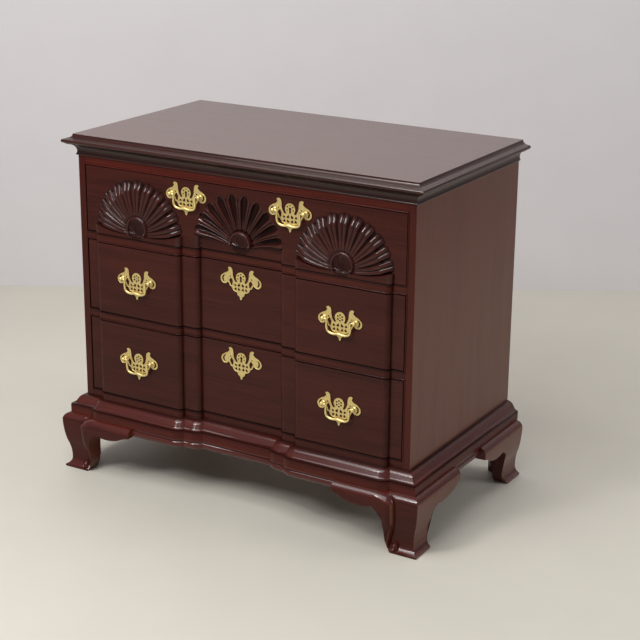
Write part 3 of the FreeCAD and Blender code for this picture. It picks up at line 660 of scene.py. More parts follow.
def plain_wood(name, light, run, darkening):
    """Unstained, close grained wood."""
    material, nodes, shader = new_material(name)
    broad, fine, pores = wood_figure(nodes, run)
    dark = tuple(c * darkening for c in light)
    tone = ((broad - 0.5) * 1.4 + (fine - 0.5) + 0.55).unit()
    wood = nodes.blend(tone, dark, light)
    wood = nodes.blend(pores * 0.3, wood, tuple(c * 0.5 for c in light))
    nodes.feed_all(shader, {
        "Base Color": wood,
        "Roughness": (fine - 0.5) * 0.15 + 0.62,
        "Normal": nodes.relief(0.25, 0.3 * MM, fine - pores)})
    return material


def cast_brass(name):
    """Lacquered brass, darker in its low places."""
    f = settings("finishes")
    material, nodes, shader = new_material(name)
    place = nodes.add("ShaderNodeTexCoord").outputs["Object"]
    cloud = nodes.noise(place, 3, scale=260)
    grit = nodes.noise(place, 2, scale=2600)
    hollow = nodes.hollow()
    metal = nodes.blend((hollow * 0.9 + (cloud - 0.5) * 0.4).unit(), f.brass, f.brass_dark)
    nodes.feed_all(shader, {
        "Base Color": metal,
        "Metallic": 0.7,
        "Roughness": hollow * 0.15 + (cloud - 0.5) * 0.12 + 0.38,
        "Normal": nodes.relief(0.2, 0.2 * MM, cloud + grit * 0.2)})
    return material


FINISHES = {}


def make_finishes():
    """All the chest's materials, by name."""
    f = settings("finishes")
    # Dark and light grain, runs of the grain, roughness, sheen and weight of the clear coat.
    woods = {"front": (f.front_dark, f.front_light, ("X",), f.gloss, 0.08, 0.16),
             "shell": (f.front_dark, f.front_light, ("X",), f.gloss, 0.08, 0.5),
             "rail": (f.rail_dark, f.rail_light, ("X", "Z", "round"), f.gloss, 0.08, 0.16),
             "case": (f.case_dark, f.case_light, ("X", "Y", "round"), f.gloss - 0.04, 0.16, 0.6),
             # cornice: a darker copy of the case colours, painted shade.
             "cornice": (f.cornice_dark, f.cornice_light, ("round",), f.gloss - 0.04, 0.16, 0.4),
             # gap: all in the dark colour, painted shade in the gaps round the drawers.
             "gap": (f.shade_fill, f.shade_fill, ("X",), f.gloss, 0.05, 0.05),
             "fascia": (f.case_dark, f.case_light, ("X", "round"), f.gloss, 0.08, 0.16),
             # top: a lighter, greyer copy, partly painted sheen.
             "top": (f.top_dark, f.top_light, ("X",), f.gloss + 0.04, 0.7, 0.3),
             # side: a lighter copy for faces turned to the sides, partly painted light.
             "side": (f.side_dark, f.side_light, ("Z", "round"), f.gloss + 0.02, 0.2, 0.3)}
    for wood, (dark, light, runs, gloss, sheen, coat) in woods.items():
        for run in runs:
            name = f"{wood}_{run}"
            FINISHES[name] = polished_wood("mahogany_" + name, dark[:], light[:], run, gloss,
                                           f.shade_fill[:], sheen, coat)
    for run in ("X", "Y"):
        FINISHES["lining_" + run] = plain_wood("drawer_lining_" + run, f.lining[:], run, 0.72)
        FINISHES["plain_" + run] = plain_wood("plain_wood_" + run, f.plain_wood[:], run, 0.66)
    FINISHES["brass"] = cast_brass("brass")


# ------------------------------------------------------------------ case and mouldings

def make_top():
    """Top board with a hollow over a rounded lip on its front and sides."""
    edge = ([(8, 0), (8, -1.5)] + oval(22.7, -1.5, 14.7, 9.3, 180, 270, 12)[1:]
            + oval(22.7, -15.1, 4.3, 4.3, 90, -90, 12)[1:] + [(21.2, -20.9)])
    bm = bmesh.new()
    rings = [[(*p, z) for p in round_case(out, straight_line)] for out, z in above(HEIGHT, edge)]
    rows = skin(bm, rings, closed=False)
    bm.faces.new([row[0] for row in rows] + [row[-1] for row in reversed(rows)])
    # Painted shade in the creases of the lip and along its lower edge.
    shade_fill(bm, HEIGHT, [(-20.9, 1), (-19.6, 0.2), (-11.5, 0), (-10.8, 0.9), (-9.6, 0.5), (-4, 0.1),
                       (-1.5, 0)])
    top = case_piece(bm, "moulded_top", "top_X", ["top_board"])
    # The lip and edges take the darker cornice copy: painted shade.
    refinish(top, "cornice_round", lambda face: face.normal.z < 0.9)


def make_cove():
    """Hollow moulding with a bead under it, round the top of the case."""
    profile = ([(0, 27.7), (19, 27.7)] + oval(19, 8.7, 17.5, 17.5, 90, 180, 12)
               + oval(1.5, 2.3, 2.3, 2.3, 90, -90, 8)[1:] + [(0, 0)])
    bm = bmesh.new()
    sweep(bm, above(COVE_BOTTOM, profile), lambda out: round_case(out, straight_line))
    # Painted shade along the lower edge, above the bead and in the corner under the top.
    shade_fill(bm, COVE_BOTTOM, [(0, 0.9), (1.2, 0), (3.4, 0), (4.6, 0.7), (7, 0.2), (20, 0.3), (27, 1)])
    # The cove takes the darker cornice copy: painted shade.
    case_piece(bm, "cove_under_top", "cornice_round", ["cove_moulding"])


def make_base_moulding():
    """Blocked base moulding: ogee standing on a plain fascia."""
    profile = ([(0, 43), (1, 42.5)] + oval(-1.5, 26.8, 18, 15.6, 78, 28, 14)
               + oval(26.1, 30, 8, 8, 211, 262, 8)
               + [(27.4, 21.6), (27, 20.8), (26, 20.4), (28, 19.8), (28, 12), (28, 0), (0, 0)])
    bm = bmesh.new()
    sweep(bm, above(FOOT_TOP, profile), lambda out: round_case(out, blocked_line))
    # Painted shade: the upper fascia darkens into the groove under the ogee, and the ogee darkens
    # into the crease against the rail.
    shade_fill(bm, FOOT_TOP, [(0, 0), (12, 0.1), (19.8, 0.6), (20.4, 1), (20.8, 1), (21.6, 0.8), (24, 0),
                         (36, 0), (39, 0.3), (41, 0.6), (42.5, 1), (43, 1)])
    base = case_piece(bm, "blocked_base_moulding", "case_round",
                      ["base_moulding_" + side for side in ("front", "left", "right")])
    refinish(base, "fascia_round", lambda face: abs(face.normal.z) < 0.1)


def bead(bottom):
    """Half round bead as (overhang, z)."""
    b = settings("blocking")
    return oval(0, bottom + b.bead_height / 2, b.bead_overhang, b.bead_height / 2, -90, 90, 6)


def make_rail(node):
    """Blocked rail with a bead along each drawer opening."""
    b = settings("blocking")
    bottom, top = low(node).z, high(node).z
    tall, edge, quirk = (x / MM for x in (top - bottom, b.bead_height, QUIRK_WIDTH))
    quirks = [(edge - 0.3, 0.1), (edge, 1), (edge + quirk, 0)]
    if node == "bottom_rail":
        behind_base = 6 * MM
        bottom -= behind_base
        tall += behind_base / MM
        face, dark = [(0, bottom)], [(0, 1)]
    else:
        lower = bead(bottom)
        face = lower + [(-QUIRK_DEPTH, lower[-1][1]), (0, bottom + b.bead_height + QUIRK_WIDTH)]
        dark = [(0, 1), (0.3, 0.1)] + quirks
    upper = bead(top - b.bead_height)
    face += [(0, upper[0][1] - QUIRK_WIDTH), (-QUIRK_DEPTH, upper[0][1])] + upper
    lines = [blocked_line(out, OPENING_HALF) for out, z in face]
    back = FACE_Y + b.rail_depth
    rings = []
    for k in range(len(lines[0])):
        ring = [(*line[k], z) for line, (out, z) in zip(lines, face)]
        x = ring[0][0]
        rings.append(ring + [(x, back, top), (x, back, bottom)])
    bm = bmesh.new()
    skin(bm, rings)
    # Painted shade along the quirks beside the beads and at the lower edge, and a painted shadow
    # under the drawer above.
    under_drawer = [*quirks[::-1], (2, 0.1), (1.1, 1), (0, 1)]
    shade_fill(bm, bottom, dark + [(tall - down, shade) for down, shade in under_drawer])
    case_piece(bm, "blocked_" + node, "rail_X", [node])


def make_top_rail():
    """Straight rail over the top drawer, with the opening's bead along its lower edge."""
    bottom, top = low("top_rail").z, high("top_rail").z
    quirk = bottom + settings("blocking").bead_height
    face = bead(bottom) + [(-QUIRK_DEPTH, quirk), (0, quirk + QUIRK_WIDTH), (0, top)]
    outline = [(FACE_Y - out, z) for out, z in face] + [(STILE_BACK, top), (STILE_BACK, bottom)]
    bm = bmesh.new()
    prism(bm, outline, -OPENING_HALF, OPENING_HALF, "X")
    case_piece(bm, "beaded_top_rail", "fascia_X", ["top_rail"])


def make_stiles():
    """Front stiles with a bead beside each drawer opening."""
    b = settings("blocking")
    wide = b.bead_height
    beads = [(OPENING_HALF + wide / 2 + x, FACE_Y - y)
             for x, y in oval(0, 0, wide / 2, b.bead_overhang, 180, 0, 6)]
    worked = beads + [(OPENING_HALF + wide, FACE_Y + QUIRK_DEPTH),
                      (OPENING_HALF + wide + QUIRK_WIDTH, FACE_Y)]
    plain = [(x, FACE_Y) for x, y in worked]
    soft = 0.6 * MM
    rest = [(HALF_WIDTH - soft, FACE_Y), (HALF_WIDTH, FACE_Y + soft),
            (HALF_WIDTH, STILE_BACK), (OPENING_HALF, STILE_BACK)]
    levels = [(FOOT_TOP, plain)]
    for name in reversed(LEVELS):
        gap = DRAWER_GAP + b.bead_height
        z0, z1 = low(name + "_drawer_front").z - gap, high(name + "_drawer_front").z + gap
        levels += [(z0, plain), (z0, worked), (z1, worked), (z1, plain)]
    levels.append((high("stile_right").z, plain))
    for side, sign in (("right", 1), ("left", -1)):
        bm = bmesh.new()
        skin(bm, [[(sign * x, y, z) for x, y in line + rest] for z, line in levels])
        stile = case_piece(bm, "beaded_stile_" + side, "rail_Z", ["stile_" + side])
        close = 0.5 * MM
        # The stile's outer face takes the lighter side copy: painted light.
        refinish(stile, "side_Z", lambda face: abs(face.center.x) > HALF_WIDTH - close)
        # Faces beside the opening take the dark gap copy: painted shade.
        refinish(stile, "gap_X", lambda face: abs(face.center.x) < OPENING_HALF + close)


def make_skirts():
    """Rolled skirt between the feet, blocked in front and straight at the sides."""
    profile = above(FOOT_TOP, [(5, 0), (28, 0), (28, -2.8), (27.3, -3.4), (26, -3.8)]
                    + oval(20.4, -12.2, 9.4, 9.2, 60, -80, 14) + [(5, -21.4)])
    # Painted shade along the lower edge and in the crease under the fascia.
    shades = [(-21.4, 0.8), (-20, 0.1), (-6, 0), (-4.2, 0.5), (-3.6, 0.9), (-2.8, 0.2), (0, 0)]
    end = high("skirt_front").x
    bm = bmesh.new()
    sweep(bm, profile, lambda out: blocked_line(out, end, True))
    shade_fill(bm, FOOT_TOP, shades)
    case_piece(bm, "rolled_skirt_front", "case_X", ["skirt_front"])
    bm = bmesh.new()
    y0, y1 = low("skirt_sides").y, high("skirt_sides").y
    sweep(bm, profile, lambda out: [(HALF_WIDTH + out, y0), (HALF_WIDTH + out, y1)])
    mirrored(bm)
    shade_fill(bm, FOOT_TOP, shades)
    case_piece(bm, "rolled_skirt_sides", "case_Y", ["skirt_sides"])


# ------------------------------------------------------------------ feet

def ogee():
    """Outer face of a foot as (z, overhang), from the floor up."""
    knee = arc((28, 137), (39, 131), (43, 117), 12)
    knee += arc((43, 117), (41.5, 96.25), (36, 65.5), 12)[1:]
    ankle = arc((36, 65.5), (30, 42), (29, 24), 12)[1:] + arc((29, 24), (32.5, 11), (41, 5), 10)[1:]
    toe = arc((41, 5), (41.3, 2.4), (40, 0), 4)[1:]
    return [(z, out) for out, z in reversed(in_metres(knee + ankle + toe))]


def scroll(lift=0):
    """Lower edge of a bracket as (distance from the outer corner, z), its wing lifted in mm."""
    leg = [(0, 0), (64, 0), (66, 2.6), (68, 6)] + arc((68, 6), (74, 18), (76.6, 32), 6)[1:]
    leg += [(77.6, 52), (78, 70)]
    hollow = arc((78, 70), (82, 82), (92, 88 + lift / 2), 8)[1:] + [(100, 93 + lift)]
    wing = [(x, z + lift * between(1, 0.55, (x - 100) / 100))
            for x, z in arc((100, 93), (145, 90), (186, 106), 16)[1:] + [(200, 109)]]
    return in_metres(leg + hollow + wing)


def fade_in(distance, over):
    """Grows from 0 to 1 over a distance in millimetres."""
    return min(1, distance / (over * MM))


def strip_spread(z):
    """How far the raised strip leans outwards at a height."""
    return settings("feet").strip_sweep * fade_in(FOOT_TOP - z, 20) * fade_in(z, 68)


def front_columns():
    """Columns of a front bracket, from the wing's end to the mitre, as rules for (x, overhang)."""
    f = settings("feet")
    b = settings("blocking")
    end = HALF_WIDTH + f.reach - f.bracket
    crest_x = b.block_outer - BLOCK_RISE

    def tightness(z):
        """0 where the strip meets the base moulding, and 1 where its shoulder is steepest."""
        t = fade_in(FOOT_TOP - z, 26)
        return t * t * (3 - 2 * t)

    def foot_of_strip(z, out):
        radius = BLOCK_RISE + out
        return crest_x + strip_spread(z) + sqrt(radius * radius - out * out)

    def crest_of_strip(z, out):
        return between(crest_x + strip_spread(z), foot_of_strip(z, out) - f.shoulder, tightness(z))

    def raised(t):
        return lambda z, out: (between(end, crest_of_strip(z, out), t), BLOCK_RISE + out)

    def shoulder(t):
        def rule(z, out):
            radius = BLOCK_RISE + out
            a = between(pi / 2, asin(out / radius), t)
            wide = (crest_x + strip_spread(z) + radius * cos(a), radius * sin(a))
            steep = (foot_of_strip(z, out) - f.shoulder * (1 - sin(t * pi / 2)),
                     out + BLOCK_RISE * cos(t * pi / 2))
            tight = tightness(z)
            return between(wide[0], steep[0], tight), between(wide[1], steep[1], tight)
        return rule

    def plain(t, dip):
        def rule(z, out):
            depth = dip * f.groove * fade_in(FOOT_TOP - z, 8)
            return between(foot_of_strip(z, out), HALF_WIDTH + out, t), out - depth
        return rule

    on_strip, on_shoulder, on_plain = 22, 14, 12
    groove = ((0, 0.6), (0.012, 1), (0.035, 0.9), (0.06, 0.4), (0.085, 0.1))
    columns = [raised(k / on_strip) for k in range(on_strip)]
    columns += [shoulder(k / on_shoulder) for k in range(on_shoulder)]
    columns += [plain(t, dip) for t, dip in groove]
    return columns + [plain(between(0.12, 1, k / on_plain), 0) for k in range(on_plain + 1)]


def column_points(rule, face, profile, lower_edge, distance):
    """One column of the outer face: from the sawn lower edge up to the base moulding."""
    rows = settings("feet").rows

    def spot(z):
        along, out = rule(z, value_at(z, profile))
        return face(along, out, z)

    def sawn(z):
        return z < value_at(distance(spot(z)), lower_edge)

    steps, halvings = 96, 14
    levels = [FOOT_TOP * (1 - k / steps) for k in range(steps + 1)]
    bottom = 0.0
    for upper, lower in zip(levels, levels[1:]):
        if sawn(lower):
            for _ in range(halvings):
                middle = (upper + lower) / 2
                upper, lower = (upper, middle) if sawn(middle) else (middle, lower)
            bottom = upper
            break
    return [spot(between(bottom, FOOT_TOP, k / rows)) for k in range(rows + 1)]


def close_sheet(bm, columns, inner):
    """Solid between columns of outer points and the same points moved to the inner face."""
    skin(bm, [points + [inner(p) for p in reversed(points)] for points in columns])


def make_volute(bm):
    """Scroll in which the raised strip of a front foot ends."""
    f = settings("feet")
    x0 = HALF_WIDTH + f.reach - f.volute_inset
    rings, spokes = 18, 48
    pitch, ridge, dome, lip, seat = (x * MM for x in (3.1, 0.85, 1.1, 2.2, 26))
    overhang, slope = 38.2 * MM, 0.30
    rows = []
    for n in range(rings + 1):
        r = f.volute_radius * n / rings
        row = []
        for k in range(spokes):
            a = tau * k / spokes
            z = f.volute_height + r * sin(a)
            spiral = cos(tau * (r / pitch - k / spokes)) * min(1, n / 4)
            out = (overhang - (z - f.volute_height) * slope + ridge * spiral
                   - lip * (1 - fade_in(f.volute_radius - r, 1.6)) ** 2 + dome * (1 - n / rings))
            row.append((x0 + r * cos(a), FACE_Y - out, z))
        rows.append(row)
    rows.append([(x, FACE_Y - seat, z) for x, _, z in rows[-1]])
    skin(bm, rows)


def glue_block(bm, corner_y, inwards):
    """Square block with its free corner planed off, in the corner of a foot."""
    f = settings("feet")
    x1 = HALF_WIDTH + f.setback
    x0, y1 = x1 - f.block_size, corner_y + inwards * f.block_size
    cut, foot = f.block_size * 0.3, 24 * MM
    outline = [(x1, corner_y), (x1, y1), (x0 + cut, y1), (x0, y1 - inwards * cut), (x0, corner_y)]
    prism(bm, outline, foot, FOOT_TOP)


def side_columns(mitre_y, toe_y, inwards):
    """Columns of a side bracket as rules for (y, overhang), from its corner to the wing."""
    f = settings("feet")
    leg_end, on_leg, on_wing = 60, 10, 26
    spots = [(leg_end + k) * MM for k in range(0, 19, 2)]
    spots += [(79 + 1.6 * k) * MM for k in range(10)]
    spots += [between(96 * MM, f.bracket, k / on_wing) for k in range(on_wing + 1)]

    def leg(t):
        return lambda z, out: (between(mitre_y(out), toe_y + inwards * leg_end * MM, t), out)

    def wing(spot):
        return lambda z, out: (toe_y + inwards * spot, out)

    return [leg(k / on_leg) for k in range(on_leg)] + [wing(spot) for spot in spots]


def finish_foot(bm, end, side, finish):
    """Turns a foot to its side of the chest, and finishes its front and its flank."""
    bmesh.ops.scale(bm, vec=(1 if side == "right" else -1, 1, 1), verts=bm.verts)
    foot = case_piece(bm, f"ogee_foot_{end}_{side}", finish, [f"foot_{end}_{side}"], sharp=38)
    if end == "front":
        refinish(foot, "rail_round", lambda face: face.normal.y < -0.6 and face.normal.z < 0.3)
    # Faces turned to either side take the lighter side copy: painted light.
    refinish(foot, "side_round", lambda face: abs(face.normal.x) > 0.6 and face.normal.z < 0.3)


def make_front_feet():
    """Front ogee bracket feet: blocked front bracket mitred to a plain side bracket."""
    f = settings("feet")
    profile, lower_edge, front_edge = ogee(), scroll(), scroll(12)
    corner_x, corner_y = HALF_WIDTH + f.reach, FACE_Y - f.reach
    for side in ("right", "left"):
        bm = bmesh.new()
        columns = [column_points(rule, lambda x, out, z: (x, FACE_Y - out, z), profile,
                                 front_edge, lambda p: corner_x - p[0])
                   for rule in front_columns()]
        flank = side_columns(lambda out: FACE_Y - out, corner_y, 1)
        columns += [column_points(rule, lambda y, out, z: (HALF_WIDTH + out, y, z), profile,
                                  lower_edge, lambda p: p[1] - corner_y) for rule in flank[1:]]
        limit_x, limit_y = HALF_WIDTH + f.setback, FACE_Y - f.setback

        def inner(point):
            """Place behind an outer point, on the inner face of its own bracket."""
            x, y, z = point
            if y < limit_y and x - HALF_WIDTH < FACE_Y - y + ROUND_OFF:
                return min(x, limit_x), limit_y, z
            return limit_x, max(y, limit_y), z

        close_sheet(bm, columns, inner)
        glue_block(bm, limit_y, 1)
        make_volute(bm)
        finish_foot(bm, "front", side, "case_round")


def make_rear_feet():
    """Rear feet: ogee side bracket with a plain sloping bracket across the back."""
    f = settings("feet")
    profile, lower_edge = ogee(), scroll()
    end = BACK_Y - f.end_inset
    limit_x = HALF_WIDTH + f.setback
    thickness = 18 * MM
    slope = arc((-37, 45.7), (-62, 85), (-150, 109), 10)
    back = in_metres([(0, 0), (-37, 0)] + slope + [(-150, 137), (0, 137)])
    for side in ("right", "left"):
        bm = bmesh.new()
        columns = [column_points(rule, lambda y, out, z: (HALF_WIDTH + out, y, z), profile,
                                 lower_edge, lambda p: end - p[1])
                   for rule in side_columns(lambda out: end, end, -1)]
        close_sheet(bm, columns, lambda p: (limit_x, p[1], p[2]))
        prism(bm, [(limit_x + x, z) for x, z in back], end - thickness, end, "Y")
        glue_block(bm, end - thickness, -1)
        finish_foot(bm, "rear", side, "case_Y")


# ------------------------------------------------------------------ drawer fronts and shells

def shade_rim(front, node):
    """Paints shade on the edges of a drawer front, in the gap round it."""
    rim = MM
    bottom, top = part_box(node)
    refinish(front, "gap_X", lambda face: face.normal.y > -0.95 and (
        abs(face.center.x) > top.x - rim or not bottom.z + rim < face.center.z < top.z - rim))


def make_blocked_fronts():
    """Middle and bottom drawer fronts, raised, sunk and raised again."""
    b = settings("blocking")
    for name in ("middle", "bottom"):
        node = name + "_drawer_front"
        bottom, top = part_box(node)
        outline = blocked_line(0, top.x) + [(top.x, top.y), (-top.x, top.y)]
        bm = bmesh.new()
        prism(bm, outline, bottom.z, top.z)
        soften(bm, b.soft_edge)
        shade_rim(drawer_piece(bm, name + "_blocked_front", "front_X", name, node, 18), node)


def reach(radius, centre, a):
    """Distance from the middle of the lower edge to a circle centred above it."""
    return centre * sin(a) + sqrt(radius * radius - (centre * cos(a)) ** 2)


def pocket_outline():
    """Scalloped outline of the sunk shell, from its right end over to its left end."""
    s = settings("shells")
    count, side = s.middle_lobes * s.per_lobe, 6
    span = pi - 2 * s.middle_plain
    angles = [s.middle_plain * k / side for k in range(side)]
    angles += [s.middle_plain + span * k / count for k in range(count + 1)]
    angles += [pi - s.middle_plain * k / side for k in reversed(range(side))]
    points = []
    for a in angles:
        phase = (a - s.middle_plain) / span * s.middle_lobes
        t = abs(phase % 1 - 0.5) * 2 if 0 < phase < s.middle_lobes else 0
        notch = s.middle_notch * (1 - sqrt(max(0, 1 - t * t)))
        r = reach(s.middle_radius, s.middle_centre, a) * (1 - notch)
        points.append((r * cos(a), r * sin(a)))
    return points


def make_top_front():
    """Top drawer front: a flat board with the sunk shell's pocket cut into its lower edge."""
    b = settings("blocking")
    bottom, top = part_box("top_drawer_front")
    depth = FACE_Y + b.recess_depth + settings("shells").floor
    pocket_side, pocket_top = 130 * MM, 700 * MM
    bm = bmesh.new()

    def ring(y, points):
        return [bm.verts.new((x, y, z)) for x, z in points]

    def clear_of_pocket(edge):
        return all(abs(v.co.x) > pocket_side or v.co.z > pocket_top for v in edge.verts)

    notch = [(x, bottom.z + z) for x, z in pocket_outline()]
    mouth, floor = ring(FACE_Y, notch), ring(depth, notch)
    corners = [(top.x, bottom.z), (top.x, top.z), (-top.x, top.z), (-top.x, bottom.z)]
    front, back = ring(FACE_Y, corners), ring(top.y, corners)
    bm.faces.new(front + mouth[::-1])
    bm.faces.new(floor)
    for k in range(len(notch) - 1):
        bm.faces.new((mouth[k], mouth[k + 1], floor[k + 1], floor[k]))
    for k in range(3):
        bm.faces.new((front[k], front[k + 1], back[k + 1], back[k]))
    bm.faces.new((front[0], mouth[0], floor[0], floor[-1], mouth[-1], front[3], back[3], back[0]))
    bm.faces.new(back)
    soften(bm, b.soft_edge, clear_of_pocket)
    front = drawer_piece(bm, "top_flat_front", "front_X", "top", "top_drawer_front", 18)
    shade_rim(front, "top_drawer_front")


class ShellRule:
    """Grid of a shell in polar places, with the forms that both kinds of shell share.

    angle goes round the fan and t from 0 in a lobe's middle to 1 at its edges. sigma goes from
    the middle of the eye to its rim, and rho on from there to the shell's rim.
    """

    def __init__(self, nodes, lobes, plain, radius, centre, turn, bend, notch):
        s = settings("shells")
        self.nodes = nodes
        side, fan = 14, lobes * s.per_lobe
        columns = 2 * side + fan + 3
        self.grid = nodes.add("GeometryNodeMeshGrid", None,
                              {"Size X": 1.0, "Size Y": 1.0, "Vertices X": columns,
                               "Vertices Y": s.rows})
        u, v = nodes.parts(nodes.add("GeometryNodeInputPosition").outputs[0])[:2]
        column = (u + 0.5) * (columns - 1) - 1
        row = (v + 0.5) * (s.rows - 1)
        span = pi - 2 * plain
        low_side, high_side = column.ramp(0, side), column.ramp(side + fan, 2 * side + fan)
        fan_share = column.ramp(side, side + fan)
        self.angle = (low_side + high_side) * plain + fan_share * span
        phase = fan_share * lobes
        self.inside = (column > side - 0.25) * (column < side + fan + 0.25)
        self.t = abs(phase % 1.0 - 0.5) * 2 * self.inside
        eye_rows = round(s.rows * 0.36)
        self.sigma = row.ramp(0, eye_rows)
        self.rho = row.ramp(eye_rows, s.rows - 2)
        self.open = (row < s.rows - 1.5) * (column > -0.5) * (column < 2 * side + fan + 0.5)
        start = asin(s.rosette_centre / s.rosette_radius)
        eye = (low_side + high_side) * (turn + start) + fan_share * (pi - 2 * turn) - start
        tip = 1 - (1 - (1 - self.t * self.t).root()) * self.inside * notch
        rim = self.circle(radius, centre) * tip
        eye_x = eye.cos() * s.rosette_radius
        eye_z = eye.sin() * s.rosette_radius + s.rosette_centre
        self.gap = (1 - self.rho) * (radius - s.rosette_radius / 2)
        weight = low_side * (1 - high_side) * (1 - (fan_share * pi).sin())
        self.x = self.sigma * eye_x + self.rho * (self.angle.cos() * rim - eye_x)
        self.z = (self.sigma * eye_z + self.rho * (self.angle.sin() * rim - eye_z)
                  + (self.rho * pi).sin() * weight * bend)
        self.eye_foot = s.rosette_centre + s.rosette_radius * sin(turn)
        self.eye_side = s.rosette_radius * cos(turn)

    def circle(self, radius, centre):
        across = self.angle.cos() * centre
        return self.angle.sin() * centre + (radius * radius - across * across).root()

    def bump(self, x, z, radius, height):
        """Low dome at a place on both sides of the middle."""
        across, up = abs(self.x) - x, self.z - z
        return (1 - (across * across + up * up) / (radius * radius)).root() * height

    def rosette(self, crown, plain):
        """Fluted eye with a bead round its upper part and a curl at each lower end."""
        s = settings("shells")
        foot, centre = self.eye_foot, s.rosette_centre
        up = self.z - foot
        from_centre = (self.x * self.x + (self.z - centre) * (self.z - centre)).root()
        from_foot = (self.x * self.x + up * up).root()
        wave = (up.math("ARCTAN2", up, self.x) * (2 * s.rosette_flutes)).cos() * 0.5 + 0.5
        flutes = wave * from_foot.ramp(3 * MM, 9 * MM) * (1 - from_centre.ramp(19 * MM, 22 * MM))
        rounded = (1 - ((from_centre - 24.2 * MM) / (2.5 * MM)) ** 2.0).root()
        quirk = from_centre.ramp(19.6 * MM, 21.4 * MM) * (from_centre < 21.6 * MM)
        eye = crown - flutes * 1.7 * MM - quirk * 1.2 * MM + rounded * 2.4 * MM
        return plain + (eye - plain) * up.ramp(-0.8 * MM, 0.8 * MM)

    def place(self, height, x, ground_y, bottom, hollow, material):
        """Moves the grid's points, stores their share of painted shade and ends the tree."""
        nodes = self.nodes
        spot = nodes.vector(self.x + x, ground_y - height * self.open, self.z + bottom)
        kept = nodes.add("GeometryNodeCaptureAttribute", None, {"Geometry": self.grid.outputs[0]})
        kept.capture_items.new("FLOAT", "Hollow")
        nodes.feed(kept.inputs[1], hollow)
        moved = nodes.add("GeometryNodeSetPosition", None,
                          {"Geometry": kept.outputs[0], "Position": spot})
        stored = nodes.add("GeometryNodeStoreNamedAttribute",
                           {"data_type": "FLOAT", "domain": "POINT"},
                           {"Geometry": moved.outputs[0], "Name": "hollow",
                            "Value": kept.outputs[1]})
        merged = nodes.add("GeometryNodeMergeByDistance", None,
                           {"Geometry": stored.outputs[0], "Distance": SAME_POINT})
        end_tree(nodes, merged.outputs[0], material)


def geometry_tree(name, inputs):
    """Empty geometry tree with named inputs, and their sockets as terms."""
    tree = bpy.data.node_groups.new(name, "GeometryNodeTree")
    tree.interface.new_socket("Geometry", in_out="OUTPUT", socket_type="NodeSocketGeometry")
    tree.interface.new_socket("Geometry", in_out="INPUT", socket_type="NodeSocketGeometry")
    for label, kind in inputs.items():
        tree.interface.new_socket(label, in_out="INPUT", socket_type=kind)
    nodes = Nodes(tree)
    entry = nodes.add("NodeGroupInput")
    return tree, nodes, entry


def end_tree(nodes, geometry, material):
    """Makes the copies real, gives them their material and sends them out."""
    real = nodes.add("GeometryNodeRealizeInstances", None, {"Geometry": geometry})
    painted = nodes.add("GeometryNodeSetMaterial", None,
                        {"Geometry": real.outputs[0], "Material": material})
    nodes.feed(nodes.add("NodeGroupOutput").inputs[0], painted.outputs[0])


def run_tree(base, tree, values, name):
    """Plain mesh piece from an object with a geometry tree on it; the base is taken away."""
    modifier = base.modifiers.new(tree.name, "NODES")
    modifier.node_group = tree
    by_name = {item.name: item.identifier for item in tree.interface.items_tree
               if item.in_out == "INPUT"}
    for label, value in values.items():
        modifier[by_name[label]] = value
    graph = bpy.context.evaluated_depsgraph_get()
    graph.update()
    mesh = bpy.data.meshes.new_from_object(base.evaluated_get(graph))
    base.modifiers.clear()
    bpy.data.objects.remove(base)
    mesh.name = name
    return mesh


